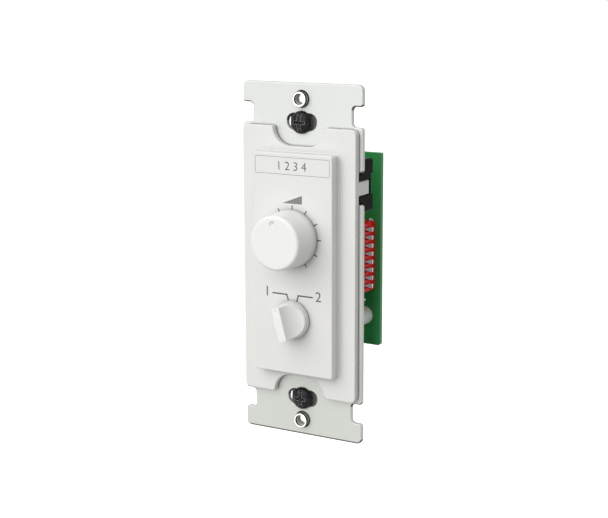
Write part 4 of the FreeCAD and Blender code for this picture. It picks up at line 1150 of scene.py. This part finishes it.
def board_screws():
    """Pan heads with a cross, on shanks in the standoffs."""
    low, high = box_mm("board_screws")
    seat = box_mm("rear_board")[1].y
    radius = (high.x - low.x) / 2
    side_y, top = seat + BOARD_SCREW_SIDE, BOARD_SCREW_TOP * radius
    side_edge, top_edge, seat_edge = BOARD_SCREW_EDGES
    wide, long, deep = BOARD_CROSS
    bm = bmesh.new()
    for z in (low.z + radius, high.z - radius):
        screw = spun([(0, low.y), (BOARD_SCREW_SHANK, low.y), (BOARD_SCREW_SHANK, seat),
                      (radius, seat), (radius, side_y), (top, high.y), (0, high.y)], 0, z,
                     steps=56)
        soften_rings(screw, [(radius, side_y, side_edge, 4), (top, high.y, top_edge, 4),
                             (radius, seat, seat_edge, 4)], 0, z)
        cross = [plate(*size, 0, high.y - deep, high.y + PAST, 0, z)
                 for size in ((wide, long), (long, wide))]
        join_in(bm, without(screw, cross))
    add_piece("board_screws_pan_head", bm, "plated_steel", ["board_screws"])


# Circuit board finishing

def solder_joint(x, z, face_y, side, pin, pad):
    """Solder that climbs a pin from its pad."""
    return spun([(of_pad * pad + of_pin * pin, face_y + side * up * SOLDER_RISE)
                 for of_pad, of_pin, up in SOLDER_OUTLINE], x, z, steps=20)


def solder_joints():
    """Solder round every pin that comes through a board, and two test pads."""
    rear_low, rear_high = box_mm("rear_board")
    control_low, control_high = box_mm("control_board")
    can_x, can_z = CAN_PLACE
    header = [(HEADER_X, z, HEADER_JOINT) for z in row(HEADER_PINS, PIN_PITCH)]
    switch = [(x, z, SWITCH_JOINT) for x in SWITCH_PIN_X
              for z in row(LEVER_COUNT, PIN_PITCH, SWITCH_Z)]
    can = [(can_x, can_z + side * CAN_LEAD_OFFSET, CAN_JOINT) for side in (-1, 1)]
    wires = [(TERMINAL_X, z, TERMINAL_JOINT) for z in row(TERMINAL_WAYS, TERMINAL_PITCH)]
    controls = [(x, z, CONTROL_JOINT) for x in CONTROL_PIN_X for z in CONTROL_PIN_Z]
    rear, control = bmesh.new(), bmesh.new()
    for bm, joints, face_y, side in ((rear, header + switch + can, rear_high.y, 1),
                                     (rear, wires, rear_low.y, -1),
                                     (control, header, control_low.y, -1),
                                     (control, controls, control_high.y, 1)):
        for x, z, (pin, pad) in joints:
            join_in(bm, solder_joint(x, z, face_y, side, pin, pad))
    for x, z in TEST_PADS:
        join_in(rear, spun([(radius, rear_low.y - rise) for radius, rise in TEST_PAD_PROFILE],
                           x, z, steps=28))
    add_piece("rear_board_solder", rear, "solder")
    add_piece("control_board_solder", control, "solder")


def flat_lines(bm, points, width, face_y, below, above):
    """Flat bars from point to point, from below a board's face to above it."""
    y0, y1 = sorted((face_y - below, face_y + above))
    for start, end in zip(points, points[1:]):
        join_in(bm, bar(start, end, width, y0, y1))


def board_tracks():
    """Raised copper tracks that join the pins, and plated rings where they change sides."""
    rear_low, rear_high = box_mm("rear_board")
    tracks, rings, vias = bmesh.new(), bmesh.new(), []

    def track(face_y, points, width=TRACK_WIDTH):
        flat_lines(tracks, points, width, face_y, TRACK_RISE, TRACK_RISE)

    can_x, can_z = CAN_PLACE
    for k, z in enumerate(row(LEVER_COUNT, PIN_PITCH, SWITCH_Z)):
        lane_x, lane_z = (start - step * k for start, step in zip(LANE_START, LANE_STEP))
        end_x = LANE_END_X + LANE_END_JOG * (k < 2) + LANE_STAGGER * (k % 2)
        track(rear_high.y, [(SWITCH_PIN_X[1], z), (lane_x, z), (lane_x, lane_z),
                            (end_x, lane_z)])
        track(rear_high.y, [(SWITCH_PIN_X[0], z), (can_x, z)], 2 * TRACK_WIDTH)
        vias.append((end_x, lane_z))
    for path in ([(can_x, can_z + CAN_LEAD_OFFSET), (can_x, FEED_END_Z)],
                 [(can_x, can_z - CAN_LEAD_OFFSET), *SUPPLY_PATH]):
        track(rear_high.y, path, 3 * TRACK_WIDTH)
    chip_x, chip_z = CHIP_PLACE
    right, left = chip_x + CHIP_PIN_REACH, chip_x - CHIP_PIN_REACH
    resistor_x, resistor_z = RESISTOR_PLACE
    for k, pin_z in enumerate(row(RESISTOR_COUNT, CHIP_PIN_PITCH, chip_z)):
        z = resistor_z + RESISTOR_STEP * k
        lane_x = CHIP_LANE[0] - CHIP_LANE_STEP[0] * k
        lane_z = CHIP_LANE[1] - CHIP_LANE_STEP[1] * (k % 2)
        for path in ([(right, pin_z), (right + CHIP_BEND[0], pin_z), (right + CHIP_BEND[1], z),
                      (resistor_x - RESISTOR_REACH, z)],
                     [(resistor_x + RESISTOR_REACH, z), (RESISTOR_RING_X, z)],
                     [(left, pin_z), (lane_x, pin_z), (lane_x, lane_z)]):
            track(rear_low.y, path)
        vias += [(RESISTOR_RING_X, z), (lane_x, lane_z)]
    y0, y1 = rear_low.y - VIA_RISE, rear_high.y + VIA_RISE
    for x, z in vias:
        join_in(rings, spun([(VIA_BORE, y0), (VIA_RADIUS, y0), (VIA_RADIUS, y1),
                             (VIA_BORE, y1)], x, z, steps=20, closed=True))
    add_piece("rear_board_tracks", tracks, "board_track")
    add_piece("rear_board_rings", rings, "solder")


def board_outlines():
    """Printed outlines round the components."""
    rear_low, rear_high = box_mm("rear_board")
    bm = bmesh.new()

    def outline(x, z, width, height, face_y, side):
        left, right, foot, top = x - width / 2, x + width / 2, z - height / 2, z + height / 2
        flat_lines(bm, [(left, foot), (right, foot), (right, top), (left, top), (left, foot)],
                   OUTLINE_WIDTH, face_y, side * INK_DEPTH, side * 2 * INK_DEPTH)

    outline(*CHIP_PLACE, *CHIP_OUTLINE, rear_low.y, -1)
    for k in range(RESISTOR_COUNT):
        outline(RESISTOR_PLACE[0], RESISTOR_PLACE[1] + RESISTOR_STEP * k, *RESISTOR_OUTLINE,
                rear_low.y, -1)
    for node, margin in (("terminal_block", BLOCK_MARGIN), ("dip_switch_body", 0)):
        low, high = box_mm(node)
        outline((low.x + high.x) / 2, (low.z + high.z) / 2, high.x - low.x + margin,
                high.z - low.z + margin, rear_high.y, 1)
    add_piece("rear_board_outlines", bm, "board_ink")


# Camera, light and floor

def add_camera():
    """The photograph's camera, with its slight roll."""
    azimuth, elevation, roll = (math.radians(turn) for turn in (CAMERA_AZIMUTH,
                                                                CAMERA_ELEVATION, CAMERA_ROLL))
    back = Vector((math.sin(azimuth) * math.cos(elevation),
                   -math.cos(azimuth) * math.cos(elevation), math.sin(elevation)))
    level = Vector((math.cos(azimuth), math.sin(azimuth), 0))
    upright = back.cross(level)
    right = math.cos(roll) * level + math.sin(roll) * upright
    up = -math.sin(roll) * level + math.cos(roll) * upright
    data = bpy.data.cameras.new("camera")
    data.sensor_width = SENSOR_WIDTH
    data.lens = FOCAL_PIXELS / PHOTO_WIDTH * SENSOR_WIDTH
    data.clip_start, data.clip_end = CAMERA_CLIP
    camera = put_in_scene("camera", data)
    place = Vector(CAMERA_TARGET) + back * CAMERA_DISTANCE
    camera.matrix_world = (Matrix.Translation(place * MM)
                           @ Matrix((right, up, back)).transposed().to_4x4())
    bpy.context.scene.camera = camera


def add_key_light():
    """One large soft disc, high in front and a little to the left."""
    data = bpy.data.lights.new("key", "AREA")
    data.shape = "DISK"
    data.size = KEY_SIZE * MM
    data.energy = KEY_POWER
    light = put_in_scene("key", data)
    light.location = Vector(KEY_PLACE) * MM
    light.rotation_mode = "QUATERNION"
    light.rotation_quaternion = (-Vector(KEY_PLACE)).to_track_quat("-Z", "Y")


def seen_directly(tree):
    """1 for what the camera sees, straight or in metal and glass, and 0 for light cast."""
    path = tree_node(tree, "ShaderNodeLightPath")
    either = path.outputs["Is Camera Ray"]
    for ray in ("Is Glossy Ray", "Is Transmission Ray"):
        larger = tree_node(tree, "ShaderNodeMath", operation="MAXIMUM")
        tree.links.new(either, larger.inputs[0])
        tree.links.new(path.outputs[ray], larger.inputs[1])
        either = larger.outputs["Value"]
    return either


def add_world():
    """Even light from all round, and plain white for what the camera sees."""
    world = bpy.data.worlds.new("studio")
    world.use_nodes = True
    tree = world.node_tree
    around, behind = tree.nodes["Background"], tree_node(tree, "ShaderNodeBackground")
    for shader, level in ((around, WORLD_LEVEL), (behind, 1.0)):
        shader.inputs["Color"].default_value = (1, 1, 1, 1)
        shader.inputs["Strength"].default_value = level
    mix = tree_node(tree, "ShaderNodeMixShader")
    tree.links.new(seen_directly(tree), mix.inputs["Fac"])
    tree.links.new(around.outputs["Background"], mix.inputs[1])
    tree.links.new(behind.outputs["Background"], mix.inputs[2])
    tree.links.new(mix.outputs["Shader"], tree.nodes["World Output"].inputs["Surface"])
    bpy.context.scene.world = world


def add_floor():
    """A pale floor that the camera sees as white wherever no shadow lies on it."""
    bm = bmesh.new()
    bmesh.ops.create_grid(bm, x_segments=1, y_segments=1, size=FLOOR_SIZE / 2)
    bmesh.ops.translate(bm, vec=(0, 0, FLOOR_Z), verts=bm.verts)
    bmesh.ops.scale(bm, vec=(MM, MM, MM), verts=bm.verts)
    floor = put_in_scene("floor", mesh_of(bm, "floor"))
    paper = Look("floor_paper", (FLOOR_COLOR, FLOOR_COLOR, FLOOR_COLOR), FLOOR_ROUGHNESS)
    seen = seen_directly(paper.tree)
    color = paper.node("ShaderNodeMix", data_type="RGBA")
    for socket, level in (("A", FLOOR_BOUNCE), ("B", FLOOR_COLOR)):
        color.inputs[socket].default_value = (level, level, level, 1)
    paper.link(seen, color.inputs["Factor"])
    paper.link(color.outputs["Result"], paper.shader.inputs["Base Color"])
    strength = paper.node("ShaderNodeMath", operation="MULTIPLY")
    strength.inputs[1].default_value = FLOOR_GLOW
    paper.link(seen, strength.inputs[0])
    glow = paper.node("ShaderNodeEmission")
    glow.inputs["Color"].default_value = (1, 1, 1, 1)
    paper.link(strength.outputs["Value"], glow.inputs["Strength"])
    both = paper.node("ShaderNodeAddShader")
    paper.link(paper.shader.outputs["BSDF"], both.inputs[0])
    paper.link(glow.outputs["Emission"], both.inputs[1])
    paper.link(both.outputs["Shader"], paper.tree.nodes["Material Output"].inputs["Surface"])
    floor.data.materials.append(LOOKS["floor_paper"])


def main():
    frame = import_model()
    bpy.context.scene.view_settings.view_transform = "Standard"
    make_looks()
    dress_nodes(frame["nodes"])
    panel_y = box_mm("front_bezel")[0].y
    strap_sheet()
    bezel_moulding()
    volume_knob()
    selector_knob()
    scale_marks(panel_y, centre_mm("volume_knob").z)
    panel_numbers(panel_y)
    box_screws()
    collars()
    dip_levers()
    capacitor_can()
    terminal_screws()
    board_screws()
    solder_joints()
    board_tracks()
    board_outlines()
    add_camera()
    add_world()
    add_key_light()
    add_floor()


main()
